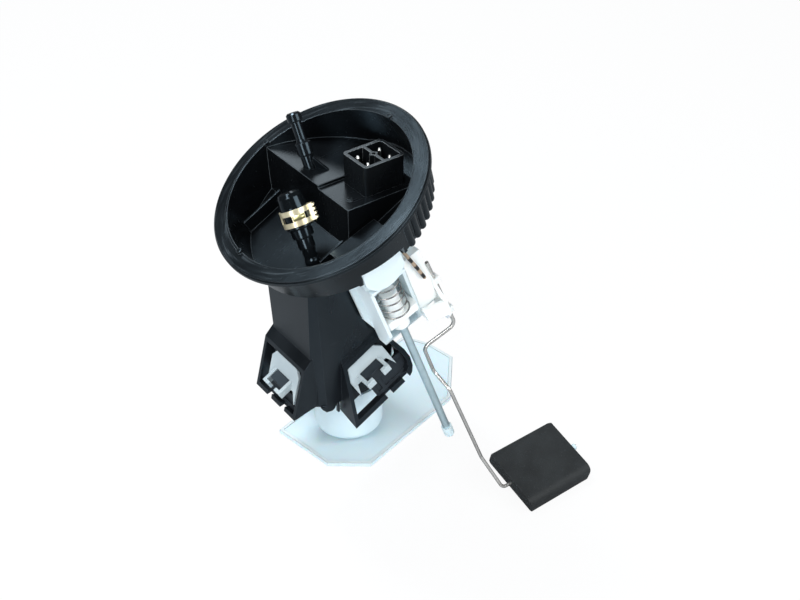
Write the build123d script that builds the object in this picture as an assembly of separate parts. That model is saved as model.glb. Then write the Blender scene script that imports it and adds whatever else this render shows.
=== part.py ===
from build123d import *
import os
from math import atan2, cos, degrees, radians, sin, tan

# Fuel pump module, in millimetres. +Z is up. The origin is the centre of the flange rim's top
# face. The flange leans towards -X, the pump and its housing stand upright, and the strainer is
# level. The connector, the shelf and the housing are square to X and Y.

# ---------------------------------------------------------------- driving dimensions
FLANGE_TILT = 27.0          # lean of the flange axis from Z, towards -X, degrees
SENDER_TILT = 20.0          # lean of the level sender, degrees
FLOOR_GAP = 0.3             # clearance between curved faces that would touch
SLIP = 0.05                 # running clearance on a radius

# flange cup, on the flange axis
RIM_R = 68.0
RIM_LEDGE_W = 10.0          # width of the rim's flat top
RIM_INNER_R = RIM_R - RIM_LEDGE_W
RIM_OVERHANG = 4.1          # how far the rim stands out past the cup's wall
CUP_TOP_R = RIM_R - RIM_OVERHANG
RIM_T = 4.0
RIM_ROUND = 1.0
CUP_DEPTH = 28.0
CUP_WALL_T = 2.4
CUP_DRAW = 4.9              # how far the wall comes in by the bottom
CUP_BOTTOM_R = CUP_TOP_R - CUP_DRAW
CUP_FLOOR_T = 2.2
LIP_H = 1.4
LIP_W = 1.6
LIP_FROM = 88.0             # azimuths of the ends of the raised inner lip, degrees
LIP_TO = 176.0
NUB_R = 1.6
NUB_H = 1.8
SPARE_NUB_AT = 2.0
RIB_R = 2.6
RIB_PITCH = 6.2             # degrees
RIB_COUNT = 26
RIB_DROP = 21.0

# terminal shelf inside the cup
SHELF_X = 0.8
SHELF_Y = -28.0
SHELF_HIGH_Z = -1.0
SHELF_STEP_H = 2.0
SHELF_STEP_Y = 2.2
SHELF_T = 2.2
SHELF_FAR = 70.0
BOSS_R = 1.6
BOSS_H = 1.2
BOSS_X = 8.0
BOSS_Y = -19.5
FLOOR_RIB_T = 1.2
FLOOR_RIB_X = (-42.0, -12.0)
FLOOR_RIB_Y = 39.0
FLOOR_RIB_H = 8.8
SUMP_RIB_X = (-30.0, -12.0)
SUMP_RIB_Y = -25.0
SUMP_RIB_H = 5.0

# connector
CONN_X = 16.9
CONN_Y = -22.8
CONN_L = 28.2
CONN_W = 23.2
CONN_TOP_Z = 16.0
CONN_WALL = 2.0
CONN_CORNER = 2.6
CONN_FLOOR_T = 3.0
CONN_WEB = 1.8
KEY_SIZE = 4.2
KEY_BORE = 2.4
PIN_R = 1.25
PIN_PITCH_X = 15.4
PIN_PITCH_Y = 10.0
PIN_BELOW_TOP = 1.6
PIN_TIP = 1.0
PIN_TAIL = 7.0

# pump axis and housing tower
PUMP_X = 14.0
PUMP_Y = -2.0
TOWER_X0 = -27.0
TOWER_X1 = 40.0
TOWER_Y0 = -28.0
TOWER_Y1 = 27.5
TOWER_WALL = 2.2
TOWER_BOTTOM_Z = -142.0
TOWER_TAPER = 2.4           # how far each wall comes in by the bottom
TOWER_TOP_Z = 0.0           # level at which the taper starts
CORNER_TOP = 1.2
CORNER_BOTTOM = 7.0
NOSE_X = (-22.0, -10.0)     # the tongue at the foot of the front wall
NOSE_DROP = 4.4
TAG_X = -9.4                # the thin tag beside it
TAG_W = 1.2
TAG_DROP = 8.0

# ear frames and their windows
EAR_W = 44.5
EAR_TOP_Z = -103.0          # where the left ear's ledge leaves the tower
EAR_LEDGE = 5.2             # how far the ledge stands out, and how far it falls
EAR_SLOPE = 15.0            # lean of the ear's front from upright, degrees
EAR_FRONT_L = 36.5          # length of the sloping front
EAR_HEEL = 3.4              # how much higher its underside meets the tower
EAR_WALL = 3.0
EAR_SIDE_T = 2.4
NOTCH_W = 4.5               # notches through the foot of each ear
NOTCH_AT = (-9.0, 6.0)
SIDE_EAR_X0 = -6.5
SIDE_EAR_X1 = 39.5
SIDE_EAR_TOP = -110.5       # where its ledge leaves the tower at the low end
SIDE_EAR_LEDGE = 2.6
SIDE_EAR_FRONT_L = 43.0
SIDE_EAR_SLOPE = 17.0
DOOR_W = 22.0
DOOR_H = 15.0

# carrier lugs and spring clips, parallel to the flange
LUG_DOWN = 15.5             # from the top of the sloping front to the top of the lug
LUG_T = 8.0
LUG_W = 13.5
LUG_OUT = 5.5
LUG_IN = 26.0
SIDE_LUG_X = 4.4
SIDE_LUG_DOWN = 12.0
APRON_T = 2.0
APRON_BAR = 2.2             # width of the apron's bars
APRON_SPAN = 17.5           # how far it reaches each side of the lug
SIDE_APRON_SPAN = (7.0, 25.0)
APRON_NECK = 9.0
APRON_NECK_L = 1.5
CLIP_T = 1.8
CLIP_SET_IN = 1.0
CLIP_TOP = 3.3              # from the top of the sloping front to the top of the clip's plate
CLIP_HALF = 10.5
CLIP_SHOULDER = 15.0
CLIP_SHOULDER_DROP = 5.5
CLIP_LEG_L = 13.0
CLIP_LEG_W = 3.0
CLIP_ARM_T = 2.2
CLIP_ARM_H = 5.0
CLIP_ARM_OUT = 10.0
CLIP_HOOK = 3.6
CLIP_GAP = 0.3

# pump
CARRIER_R = 20.8
CARRIER_WALL = 1.6
CARRIER_TOP_Z = -96.0
CAN_R = 19.0
CAN_WALL = 1.2
CAN_TOP_Z = -84.0
CAN_BOTTOM_Z = -178.0
SLEEVE_R = 22.6
SLEEVE_WALL = 2.0
SLEEVE_TOP_Z = -146.5
SLEEVE_BOTTOM_Z = -184.0
SLEEVE_ROUND = 3.0
MAGNET_R = 17.5
MAGNET_T = 2.6
MAGNET_H = 46.0
MAGNET_ARC = 130.0
MAGNET_MID_Z = -132.0
ARMATURE_R = 14.2
ARMATURE_SLOTS = 8
ARMATURE_SLOT_W = 2.4
ARMATURE_SLOT_D = 3.6
COMMUTATOR_R = 8.0
COMMUTATOR_H = 9.0
SHAFT_R = 2.0
IMPELLER_R = 15.2
IMPELLER_T = 3.2
IMPELLER_BLADES = 20
IMPELLER_PLAY = 0.3
END_CAP_H = 9.0
OUTLET_R = 3.0
OUTLET_BORE = 2.5
OUTLET_H = 13.0
OUTLET_X = 6.0
POPPET_R = 2.2
POPPET_LIFT = 1.5
TAB_W = 4.6
TAB_T = 0.8
TAB_H = 9.0

# strainer
SHEET_TURN = 13.7
SHEET_U0 = -38.0
SHEET_U1 = 101.0
SHEET_V0 = -37.0
SHEET_V1 = 31.0
SHEET_T = 2.6
SHEET_Z = -190.0
NECK_R = 9.0
NECK_BORE = 6.0

# nipples, which lean back together
NIPPLE_TURN = 94.0          # azimuth that they lean towards, degrees
SUPPLY_AT = (-18.6, -19.5)
SUPPLY_LEAN = 30.0
SUPPLY_TILT = 13.5          # lean of its tail under the floor, towards -X
SUPPLY_RISE = 4.5           # height of its elbow above the floor
ELBOW_R = 4.6
PIPE_R = 4.0
SUPPLY_LEN = 37.0
SUPPLY_COLLAR_R = 5.0
SUPPLY_COLLAR_AT = 8.0
SUPPLY_SHOULDER_R = 6.4
SUPPLY_SHOULDER_AT = 14.5
SUPPLY_TAIL = 16.0
TAIL_R = 3.0
TAIL_BORE = 2.0
TAIL_FROM = -5.5
CAP_R = 8.0
CAP_FROM = 20.5
CAP_TO = 42.5
CAP_ROUND = 3.2
CAP_DRAFT = 0.7             # how much slimmer the cap is at its closed end
CLAMP_T = 0.9
CLAMP_R = CAP_R + CLAMP_T
CLAMP_FROM = 22.6
CLAMP_L = 9.8
CLAMP_HOOP = 3.0
CLAMP_WINDOW_W = 5.4
CLAMP_WINDOWS = (-152.0, 172.0, 130.0, 88.0, 46.0, 4.0, -64.0)
CLAMP_EAR_W = 4.4
CLAMP_EAR_OUT = 2.0
CLAMP_EAR_AT = -36.0
CLAMP_TEETH = 4
CLAMP_TOOTH = 1.1
RETURN_AT = (9.4, 23.1)
RETURN_LEAN = 27.0
RETURN_LEN = 33.0
RETURN_PIPE_R = 3.2
RETURN_FOOT_R = 3.8
RETURN_COLLAR_R = 4.8
RETURN_COLLAR = (7.6, 14.6)  # heights of the collar's ends
RETURN_BEAD_R = 4.4
RETURN_BEAD_L = 4.0
RETURN_BORE = 2.2
FIN_L = 11.9
FIN_H = 9.0
FIN_T = 1.5
FIN_AT = -57.0

# hose inside the tower
HOSE_R = 4.3
HOSE_CLIP_R = 4.9
HOSE_CLIP_L = 5.0

# level sender, in its own leaning frame: X along the lever axis, Y as the part, Z up the rod
POST_X = -4.2
ROD_Y = -44.0
ROD_R = 2.5
ROD_TOP = -88.0
ROD_BOTTOM = -206.0
FOOT_R = 3.6
FOOT_L = 7.0
SPRING_R = 9.0
SPRING_WIRE_R = 0.6
SPRING_TOP = -45.0
SPRING_BOTTOM = -75.0
SPRING_TURNS = 5
POST_R = 5.4
POST_TOP = -58.0
CARRIAGE_T = 6.0            # the block under the spring that runs in the channel
CARRIAGE_EDGE = 1.0
ROD_SEAT = 6.0
CHANNEL_PLAY = 0.4
PLUNGER_STROKE = 11.0
BLOCK_X0 = -20.5
BLOCK_X1 = 24.0
BLOCK_TOP = -40.0
BLOCK_BOTTOM = -101.0
BACK_T = 2.6
BACK_Y = -29.6
PAD_X = (-8.0, 12.0)
PAD_Z = (-88.0, -50.0)
CHANNEL_X0 = -17.0
CHANNEL_X1 = 11.0
CHANNEL_WALL = 2.2
CHANNEL_FRONT_Y = -50.0
CHANNEL_RIGHT_Y = -44.5
CHANNEL_CUT_Z = -86.0        # where the walls' front edge turns back to the foot
CHANNEL_CUT_Y = -39.0
HEEL_IN = 7.0               # the back plate's cut lower corner
HEEL_UP = 22.0
HOOD_X0 = -18.4
HOOD_X1 = 8.6
HOOD_TOP = -21.9
HOOD_BOTTOM = -41.0
HOOD_FRONT_Y = -54.5
HOOD_WALL = 2.4
SPRING_GAP = 0.3
SEAT_T = 2.0
FOOT_T = 5.0
RELIEF_GAP = 0.8            # room round the hood where the cup is relieved for it
RELIEF_WALL = 2.2
BODY_FRONT_Y = -45.0
BODY_TOP = -46.0
BODY_BOTTOM = -97.0
BODY_SKIN = 2.2
POCKET_D = 5.2
POCKET_HALF = 12.0
NOTCH_IN = 5.0
NOTCH_D = 6.0
NOTCH_H = 8.0
TAB_IN = 1.5
TAB_D = 6.5
TAB_H = 7.0
PLATE_T = 1.0
PLATE_PLAY = 0.2
LEVER_AXIS_Y = -34.6
LEVER_AXIS_Z = -70.0
LEVER_T = 2.4
LEVER_HUB_R = 5.0
LEVER_END_Z = -110.0
LEVER_PLATE_Y = -50.5        # the lever's plate across the body's front
LEVER_PLATE_X = 9.5
LEVER_PLATE_TOP = -85.2
LEVER_PLATE_H = 12.4
LEVER_PLATE_FALL = 6.2
PIVOT_R = 1.5
WIRE_R = 1.2
WIRE_X_OUT = 28.4
WIRE_X_IN = 4.4
WIRE_TOP = (-38.5, -66.0)    # (y, z) down the wire's route, sender frame
WIRE_ELBOW = (-45.0, -120.5)
WIRE_KNEE = (-40.2, -124.5)
WIRE_SHIN = (-40.2, -149.5)
WIRE_STEP = (-53.6, -158.5)
WIRE_HEEL = (-58.6, -233.0)
WIRE_BENDS = [5.0, 5.0, 6.0, 6.0, 9.0, 4.5]
WIRE_LEAD_IN = 6.0
WIRE_TAIL = 6.6
GRIP_AT = (-80.5, -106.0)
GRIP_COVER = 1.4
GRIP_W = 5.2
GRIP_H = 5.0
FLOAT_L = 57.0
FLOAT_W = 48.0
FLOAT_T = 12.0
FLOAT_AT = (100.1, -71.0, -243.0)   # where the float's wire enters it
FLOAT_SLOPE = 15.0          # how far its outer edge hangs down, degrees
FLOAT_BEVEL = 1.6
FLOAT_ROUND = 7.0
FLOAT_SLANT = 2.6           # how far the near end is cut back at its foot
FLOAT_CORNER = 2.6
RETAINER_R = 3.4
RETAINER_T = 1.6
RETAINER_HUB_R = 2.3
RETAINER_L = 5.0
LEAD_R = 1.1
LEAD_BENDS = [6.0, 6.0]

os.makedirs("parts", exist_ok=True)


# ---------------------------------------------------------------- frames and helpers
def leaning(tilt, origin=(0, 0, 0)):
    """A frame whose Z leans from the part's Z towards -X by tilt degrees."""
    a = radians(tilt)
    return Plane(origin=origin, x_dir=(cos(a), 0, sin(a)), z_dir=(-sin(a), 0, cos(a)))


FLANGE = leaning(FLANGE_TILT)
SENDER = leaning(SENDER_TILT)


def put(frame, shape):
    return frame.location * shape


def rod(r, z0, z1):
    """An upright cylinder from z0 to z1."""
    return Pos(0, 0, (z0 + z1) / 2) * Cylinder(r, abs(z1 - z0))


def tube(r_out, r_in, z0, z1):
    return rod(r_out, z0, z1) - rod(r_in, min(z0, z1) - 1, max(z0, z1) + 1)


def block(x0, x1, y0, y1, z0, z1):
    """A box between two corners."""
    return Pos((x0 + x1) / 2, (y0 + y1) / 2, (z0 + z1) / 2) * Box(x1 - x0, y1 - y0, z1 - z0)


def turned(points):
    """A solid of revolution about Z from its (radius, height) outline."""
    outline = make_face(Polyline(*[(r, 0, z) for r, z in points], close=True))
    return revolve(outline, Axis.Z)


def prism(points, plane, depth):
    """An outline drawn in a plane, thickened along its normal."""
    return extrude(plane * make_face(Polyline(*points, close=True)), depth)


def save(node, shape):
    solids = shape.solids()
    body = solids[0] if len(solids) == 1 else Compound(children=list(solids))
    body.label = node
    export_step(body, "parts/" + node + ".step")
    print(node, len(solids), round(sum(s.volume for s in solids)))


# ---------------------------------------------------------------- flange cup
CUP_SLOPE = atan2(CUP_TOP_R - CUP_BOTTOM_R, CUP_DEPTH - RIM_T)
CUP_INNER_BOTTOM_R = CUP_BOTTOM_R - CUP_WALL_T
CUP_FLOOR_TOP = -CUP_DEPTH + CUP_FLOOR_T


def cup_cavity(shrink=0.0):
    """The cup's hollow in the flange frame, made smaller by shrink, and taller than the rim."""
    lower, upper = CUP_INNER_BOTTOM_R - shrink, RIM_INNER_R - shrink
    return turned([(0, CUP_FLOOR_TOP), (lower, CUP_FLOOR_TOP), (upper, 0), (upper, RIM_R), (0, RIM_R)])


def rim_ring():
    """The rim, the wall and the floor in one turned outline."""
    r = CUP_TOP_R
    outline = [
        (RIM_INNER_R, 0), (RIM_R - RIM_ROUND, 0), (RIM_R, -RIM_ROUND),
        (RIM_R, -RIM_T + RIM_ROUND), (RIM_R - RIM_ROUND, -RIM_T), (r, -RIM_T),
        (CUP_BOTTOM_R, -CUP_DEPTH + 1), (CUP_BOTTOM_R - 1, -CUP_DEPTH), (0, -CUP_DEPTH),
        (0, CUP_FLOOR_TOP), (CUP_INNER_BOTTOM_R, CUP_FLOOR_TOP),
    ]
    return turned(outline)


def rim_lip():
    """The raised lip along part of the rim's inner edge, with a nub at each end."""
    r = RIM_INNER_R + LIP_W / 2
    sweep_of = LIP_TO - LIP_FROM
    lip = Rot(0, 0, LIP_FROM) * revolve(
        Plane.XZ * Pos(r, LIP_H / 2 - 0.2) * Rectangle(LIP_W, LIP_H + 0.4), Axis.Z, sweep_of
    )
    for azimuth in (LIP_FROM, LIP_TO, SPARE_NUB_AT):
        a = radians(azimuth)
        lip += Pos(r * cos(a), r * sin(a), 0) * rod(NUB_R, -1.0, NUB_H)
    return lip


def wall_ribs():
    """Rounded ribs down the outside of the cup's wall, on the flange's high half."""
    mid_h = -RIM_T - RIB_DROP / 2
    mid_r = (CUP_TOP_R + CUP_BOTTOM_R) / 2 - RIB_R * 0.15
    first = -RIB_PITCH * (RIB_COUNT - 1) / 2
    upright = Cylinder(RIB_R, RIB_DROP + 2) + Pos(0, 0, -RIB_DROP / 2 - 1) * Sphere(RIB_R)
    one = Pos(mid_r, 0, mid_h) * Rot(0, degrees(CUP_SLOPE), 0) * upright
    return [Rot(0, 0, first + i * RIB_PITCH) * one for i in range(RIB_COUNT)]


def flange_cup():
    cup = rim_ring() + rim_lip()
    for rib in wall_ribs():
        cup += rib
    cup -= cup_cavity()
    cup += rim_lip()
    cup = put(FLANGE, cup)
    shelf = block(SHELF_X, SHELF_FAR, SHELF_Y, SHELF_FAR, -SHELF_FAR, SHELF_HIGH_Z)
    shelf -= block(0, SHELF_FAR, SHELF_Y - 1, SHELF_STEP_Y, SHELF_HIGH_Z - SHELF_STEP_H, 1)
    room = block(
        SHELF_X + SHELF_T, SHELF_FAR, SHELF_Y + SHELF_T, SHELF_FAR,
        -SHELF_FAR, SHELF_HIGH_Z - SHELF_STEP_H - SHELF_T,
    )
    under = turned([
        (0, -CUP_DEPTH - 5), (CUP_INNER_BOTTOM_R - SHELF_T, -CUP_DEPTH - 5),
        (CUP_INNER_BOTTOM_R - SHELF_T, 0), (0, 0),
    ])
    grown = put(FLANGE, cup_cavity(shrink=-0.6))
    cup += shelf & grown
    cup -= room & put(FLANGE, under)
    cup += Pos(BOSS_X, BOSS_Y, SHELF_HIGH_Z - SHELF_STEP_H) * rod(BOSS_R, -0.5, BOSS_H)
    for (x0, x1), y, h in (
        (FLOOR_RIB_X, FLOOR_RIB_Y, FLOOR_RIB_H), (SUMP_RIB_X, SUMP_RIB_Y, SUMP_RIB_H),
    ):
        fin = block(x0, x1, y, y + FLOOR_RIB_T, CUP_FLOOR_TOP - 0.5, CUP_FLOOR_TOP + h)
        cup += put(FLANGE, fin)
    envelope = put(FLANGE, rod(CUP_BOTTOM_R, -CUP_DEPTH, 0))
    cup += put(SENDER, hood_room(RELIEF_GAP + RELIEF_WALL)) & envelope
    cup -= put(SENDER, hood_room(RELIEF_GAP))
    cup -= put(TAIL, rod(PIPE_R + SLIP, -2 * SUPPLY_TAIL, 0))
    for x, y in pin_places():
        cup -= Pos(x, y, SHELF_HIGH_Z - SHELF_STEP_H) * rod(PIN_R + SLIP, -SHELF_T - 1, 1)
    return cup


def hood_room(grow):
    """The space the sender's hood takes up, grown by grow, and open outwards and downwards."""
    return block(
        HOOD_X0 - grow, HOOD_X1 + grow, -2 * RIM_R, BACK_Y - BACK_T - 0.5 + grow,
        HOOD_BOTTOM - RIM_R, HOOD_TOP + grow,
    )


# ---------------------------------------------------------------- nipples, cap, clamp
def floor_height(x):
    """Height of the cup's floor above the point x."""
    a = radians(FLANGE_TILT)
    return (CUP_FLOOR_TOP + x * sin(a)) / cos(a)


def aimed(lean, turn, origin):
    """A frame whose Z leans by lean degrees towards the azimuth turn, with X kept near the part's."""
    a, t = radians(lean), radians(turn)
    return Plane(origin=origin, x_dir=(1, 0, 0), z_dir=(sin(a) * cos(t), sin(a) * sin(t), cos(a)))


SUPPLY_FOOT = (SUPPLY_AT[0], SUPPLY_AT[1], floor_height(SUPPLY_AT[0]) + SUPPLY_RISE)
SUPPLY = aimed(SUPPLY_LEAN, NIPPLE_TURN, SUPPLY_FOOT)
TAIL = leaning(SUPPLY_TILT, SUPPLY_FOOT)
RETURN = aimed(RETURN_LEAN, NIPPLE_TURN, (RETURN_AT[0], RETURN_AT[1], SHELF_HIGH_Z))


def supply_nipple():
    """An elbow on the cup's floor: a tail below for the inner hose, and a stepped pipe above."""
    c, n, r, s = SUPPLY_COLLAR_AT, SUPPLY_LEN, PIPE_R, SUPPLY_SHOULDER_AT
    pipe = turned([
        (0, 0), (r, 0), (r, c), (SUPPLY_COLLAR_R, c + 0.5), (SUPPLY_COLLAR_R, s), (SUPPLY_SHOULDER_R, s + 0.8),
        (SUPPLY_SHOULDER_R, CAP_FROM), (r + 0.4, CAP_FROM), (r + 0.4, n - 4), (r + 1.0, n - 3), (r, n), (0, n),
    ])
    tail = rod(r, TAIL_FROM - SUPPLY_RISE, 0) + rod(TAIL_R, -SUPPLY_TAIL - SUPPLY_RISE, TAIL_FROM)
    elbow = Pos(*SUPPLY_FOOT) * Sphere(ELBOW_R)
    whole = put(SUPPLY, pipe) + put(TAIL, tail) + (elbow & put(FLANGE, rod(RIM_R, CUP_FLOOR_TOP, RIM_R)))
    whole -= put(SUPPLY, rod(TAIL_BORE, 0, n + 1))
    whole -= put(TAIL, rod(TAIL_BORE, -SUPPLY_TAIL - SUPPLY_RISE - 1, 0))
    return whole - Pos(*SUPPLY_FOOT) * Sphere(TAIL_BORE)


def supply_cap():
    """The closed cap on the supply nipple's end."""
    inner = PIPE_R + 1.0 + FLOOR_GAP
    slim = CAP_R - CAP_DRAFT
    clamped = CLAMP_FROM + CLAMP_L + 1
    body = turned([
        (inner, CAP_FROM), (CAP_R - 0.8, CAP_FROM), (CAP_R, CAP_FROM + 0.8), (CAP_R, clamped),
        (slim, CAP_TO - CAP_ROUND), (slim - CAP_ROUND * 0.3, CAP_TO - CAP_ROUND * 0.3),
        (slim - CAP_ROUND, CAP_TO), (0, CAP_TO), (0, SUPPLY_LEN + 1.5), (inner, SUPPLY_LEN + 1.5),
    ])
    return put(SUPPLY, body)


def hose_clamp():
    """Two brass hoops joined by bars round a row of windows, with a toothed pinch ear."""
    z0, z1 = CLAMP_FROM, CLAMP_FROM + CLAMP_L
    inner = CAP_R + SLIP
    half = CLAMP_WINDOW_W / 2
    band = tube(CLAMP_R, inner, z0, z1)
    for turn in CLAMP_WINDOWS:
        window = block(inner - 1, CLAMP_R + 1, -half, half, z0 + CLAMP_HOOP, z1 - CLAMP_HOOP)
        band -= Rot(0, 0, turn) * window
    out = CLAMP_R + CLAMP_EAR_OUT
    ear_half = CLAMP_EAR_W / 2
    ear = block(CLAMP_R - CLAMP_T / 2, out, -ear_half, ear_half, z0, z1)
    ear -= block(inner, out - CLAMP_T, -ear_half + CLAMP_T, ear_half - CLAMP_T, z0 - 1, z1 + 1)
    step = CLAMP_L / CLAMP_TEETH
    for i in range(CLAMP_TEETH):
        z = z0 + (i + 0.5) * step
        ear += block(out - 0.2, out + CLAMP_TOOTH, -ear_half, ear_half, z - step / 4, z + step / 4)
    return put(SUPPLY, band + Rot(0, 0, CLAMP_EAR_AT) * ear)


def return_nipple():
    """The open nipple on the shelf, with a bead for its hose and a fin at its foot."""
    low, high = RETURN_COLLAR
    n, r, f = RETURN_LEN, RETURN_PIPE_R, RETURN_FOOT_R
    bead = n - 1 - RETURN_BEAD_L
    body = turned([
        (0, -f), (f, -f), (f, low - 0.8), (RETURN_COLLAR_R, low), (RETURN_COLLAR_R, high),
        (r + 0.4, high + 1), (r, high + 2.5), (r, bead - 0.6), (RETURN_BEAD_R, bead), (RETURN_BEAD_R, n - 1),
        (RETURN_BEAD_R - 1, n), (RETURN_BORE, n), (RETURN_BORE, FIN_H / 2), (0, FIN_H / 2),
    ])
    fin = prism([(-1, -1), (FIN_L, -1), (FIN_L, 0.4), (-1, FIN_H)], Plane.XZ.offset(-FIN_T / 2), FIN_T)
    fin -= rod(RETURN_BORE, FIN_H / 2, FIN_H * 2)
    whole = put(RETURN, body) + Pos(RETURN_AT[0], RETURN_AT[1], SHELF_HIGH_Z) * Rot(0, 0, FIN_AT) * fin
    return whole - block(-RIM_R, RIM_R, -RIM_R, RIM_R, SHELF_HIGH_Z - RIM_R, SHELF_HIGH_Z)


# ---------------------------------------------------------------- connector
def pin_places():
    cx = CONN_X + CONN_L / 2
    cy = CONN_Y + CONN_W / 2
    return [
        (cx + i * PIN_PITCH_X / 2, cy + j * PIN_PITCH_Y / 2)
        for i in (-1, 1) for j in (-1, 1)
    ]


def connector_shell():
    base = SHELF_HIGH_Z - SHELF_STEP_H
    cx = CONN_X + CONN_L / 2
    cy = CONN_Y + CONN_W / 2
    inner_l, inner_w = CONN_L - 2 * CONN_WALL, CONN_W - 2 * CONN_WALL
    outer = extrude(Plane.XY * RectangleRounded(CONN_L, CONN_W, CONN_CORNER), CONN_TOP_Z - base)
    mouth = Plane.XY * RectangleRounded(inner_l, inner_w, CONN_CORNER - CONN_WALL / 2)
    inner = extrude(mouth, CONN_TOP_Z - base)
    shell = outer - Pos(0, 0, CONN_FLOOR_T) * inner
    web_h = CONN_TOP_Z - base
    shell += Pos(0, 0, web_h / 2) * Box(CONN_WEB, CONN_W - 1, web_h)
    shell += Pos(0, 0, web_h / 2) * Rot(0, 0, 45) * Box(KEY_SIZE, KEY_SIZE, web_h)
    shell -= Pos(0, 0, web_h / 2 + CONN_FLOOR_T) * Rot(0, 0, 45) * Box(KEY_BORE, KEY_BORE, web_h)
    shell = Pos(cx, cy, base) * shell
    for x, y in pin_places():
        shell -= Pos(x, y, base) * rod(PIN_R + SLIP, -1, CONN_FLOOR_T + 1)
    below = block(0, SHELF_FAR, SHELF_STEP_Y, SHELF_FAR, base - 1, SHELF_HIGH_Z)
    return shell - below


def terminal_pins():
    base = SHELF_HIGH_Z - SHELF_STEP_H
    top = CONN_TOP_Z - PIN_BELOW_TOP
    pin = turned([
        (0, base - PIN_TAIL), (PIN_R, base - PIN_TAIL), (PIN_R, top - PIN_TIP), (PIN_R / 2, top), (0, top),
    ])
    return Compound(children=[Pos(x, y, 0) * pin for x, y in pin_places()])


# ---------------------------------------------------------------- housing tower and ears
def tower_section(z, inset=0.0):
    """The tower's outline at a height: a rectangle with its corners cut, drawn in by inset."""
    share = (TOWER_TOP_Z - z) / (TOWER_TOP_Z - TOWER_BOTTOM_Z)
    draft = TOWER_TAPER * share + inset
    cut = CORNER_TOP + (CORNER_BOTTOM - CORNER_TOP) * share
    cut = max(cut - inset * 0.6, 0.3)
    x0, x1 = TOWER_X0 + draft, TOWER_X1 - draft
    y0, y1 = TOWER_Y0 + draft, TOWER_Y1 - draft
    points = [
        (x0 + cut, y0), (x1 - cut, y0), (x1, y0 + cut), (x1, y1 - cut),
        (x1 - cut, y1), (x0 + cut, y1), (x0, y1 - cut), (x0, y0 + cut),
    ]
    return make_face(Polyline(*[(x, y, z) for x, y in points], close=True))


def tower_block(inset=0.0, extra=0.0):
    top, bottom = TOWER_TOP_Z + extra, TOWER_BOTTOM_Z - extra
    return loft([tower_section(top, inset), tower_section(bottom, inset)])


def left_face_x(z):
    return TOWER_X0 + TOWER_TAPER * (TOWER_TOP_Z - z) / (TOWER_TOP_Z - TOWER_BOTTOM_Z)


def side_face_y(z):
    return TOWER_Y0 + TOWER_TAPER * (TOWER_TOP_Z - z) / (TOWER_TOP_Z - TOWER_BOTTOM_Z)


LEFT_FACE = left_face_x(EAR_TOP_Z)
SIDE_FACE = side_face_y(SIDE_EAR_TOP)
RISE = tan(radians(FLANGE_TILT))
ALONG = Vector(cos(radians(FLANGE_TILT)), 0, sin(radians(FLANGE_TILT)))


def ear_profile(ledge, front, slope, inset):
    """One ear's side view as (outward, height) points from where its ledge leaves the tower.

    inset draws the top, the front and the underside in by that much.
    """
    a = radians(slope)
    top = (ledge - inset / cos(a) + inset * tan(a), -ledge - inset)
    low = (ledge + front * sin(a) - inset / cos(a), -ledge - front * cos(a) + inset)
    return [(-3.0, 3.0 - inset), (0.0, -inset), top, low, (-3.0, low[1] + EAR_HEEL)]


def side_ear_outline(x0, x1, side, inset):
    """The -Y ear's front view, thickened: a low end at x0 and a rounded end at x1."""
    top, base = SIDE_EAR_TOP, SIDE_EAR_TOP - SIDE_EAR_FRONT_L
    outline = [
        (x0 - 1, top + 5 - inset), (x0 + 26, top + 5 + 27 * RISE - inset), (x0 + 34 - side, top + 6 - inset),
        (x1 - 4.5, top - 3.5), (x1 - 1.6, top - 9.5), (x1 - 0.9, top - 15.5), (x1 - 2.0, top - 19.5),
        (x1 - 5.0, top - 23.0 + inset * 0.5), (x1 - 14, top - 31 + inset), (x0 - 1, base - 9 + inset),
    ]
    return extrude(Plane.XZ * make_face(Polyline(*outline, close=True)), RIM_R, both=True)


def left_ear(inset, side):
    """The left ear as a solid, drawn in by inset, and by side at each end."""
    half = EAR_W / 2 - side
    profile = ear_profile(EAR_LEDGE, EAR_FRONT_L, EAR_SLOPE, inset)
    points = [(LEFT_FACE - u, -half, EAR_TOP_Z + v) for u, v in profile]
    return extrude(make_face(Polyline(*points, close=True)), 2 * half, dir=(0, 1, 0))


def side_ear(inset, side):
    """The ear on the -Y face: its ledge and its underside run parallel to the flange."""
    x0, x1 = SIDE_EAR_X0 + side, SIDE_EAR_X1 - side
    low_end = SIDE_EAR_TOP + side * RISE
    profile = ear_profile(SIDE_EAR_LEDGE, SIDE_EAR_FRONT_L, SIDE_EAR_SLOPE, inset)
    points = [(x0, SIDE_FACE - u, low_end + v) for u, v in profile]
    whole = extrude(make_face(Polyline(*points, close=True)), (x1 - x0) / ALONG.X, dir=ALONG)
    return whole & side_ear_outline(x0, x1, side, inset)


def mirror_rear(shape):
    """A copy of a -Y ear's piece on the +Y face."""
    return mirror(shape, Plane.XZ.offset(-(TOWER_Y0 + TOWER_Y1) / 2))


def front_plane(origin, along, slope):
    """The plane of an ear's sloping front: X runs along the ear, Y up it and Z outward."""
    a = radians(slope)
    if abs(along.Y) > 0.5:
        up = Vector(sin(a), 0, cos(a))
    else:
        up = Vector(0, sin(a), cos(a))
    return Plane(origin=origin, x_dir=along, z_dir=along.cross(up))


LEFT_FRONT = front_plane(
    (LEFT_FACE - EAR_LEDGE, PUMP_Y, EAR_TOP_Z - EAR_LEDGE), Vector(0, -1, 0), EAR_SLOPE
)
SIDE_FRONT = front_plane(
    (SIDE_LUG_X, SIDE_FACE - SIDE_EAR_LEDGE,
     SIDE_EAR_TOP - SIDE_EAR_LEDGE + (SIDE_LUG_X - SIDE_EAR_X0) * RISE),
    ALONG, SIDE_EAR_SLOPE,
)


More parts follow.
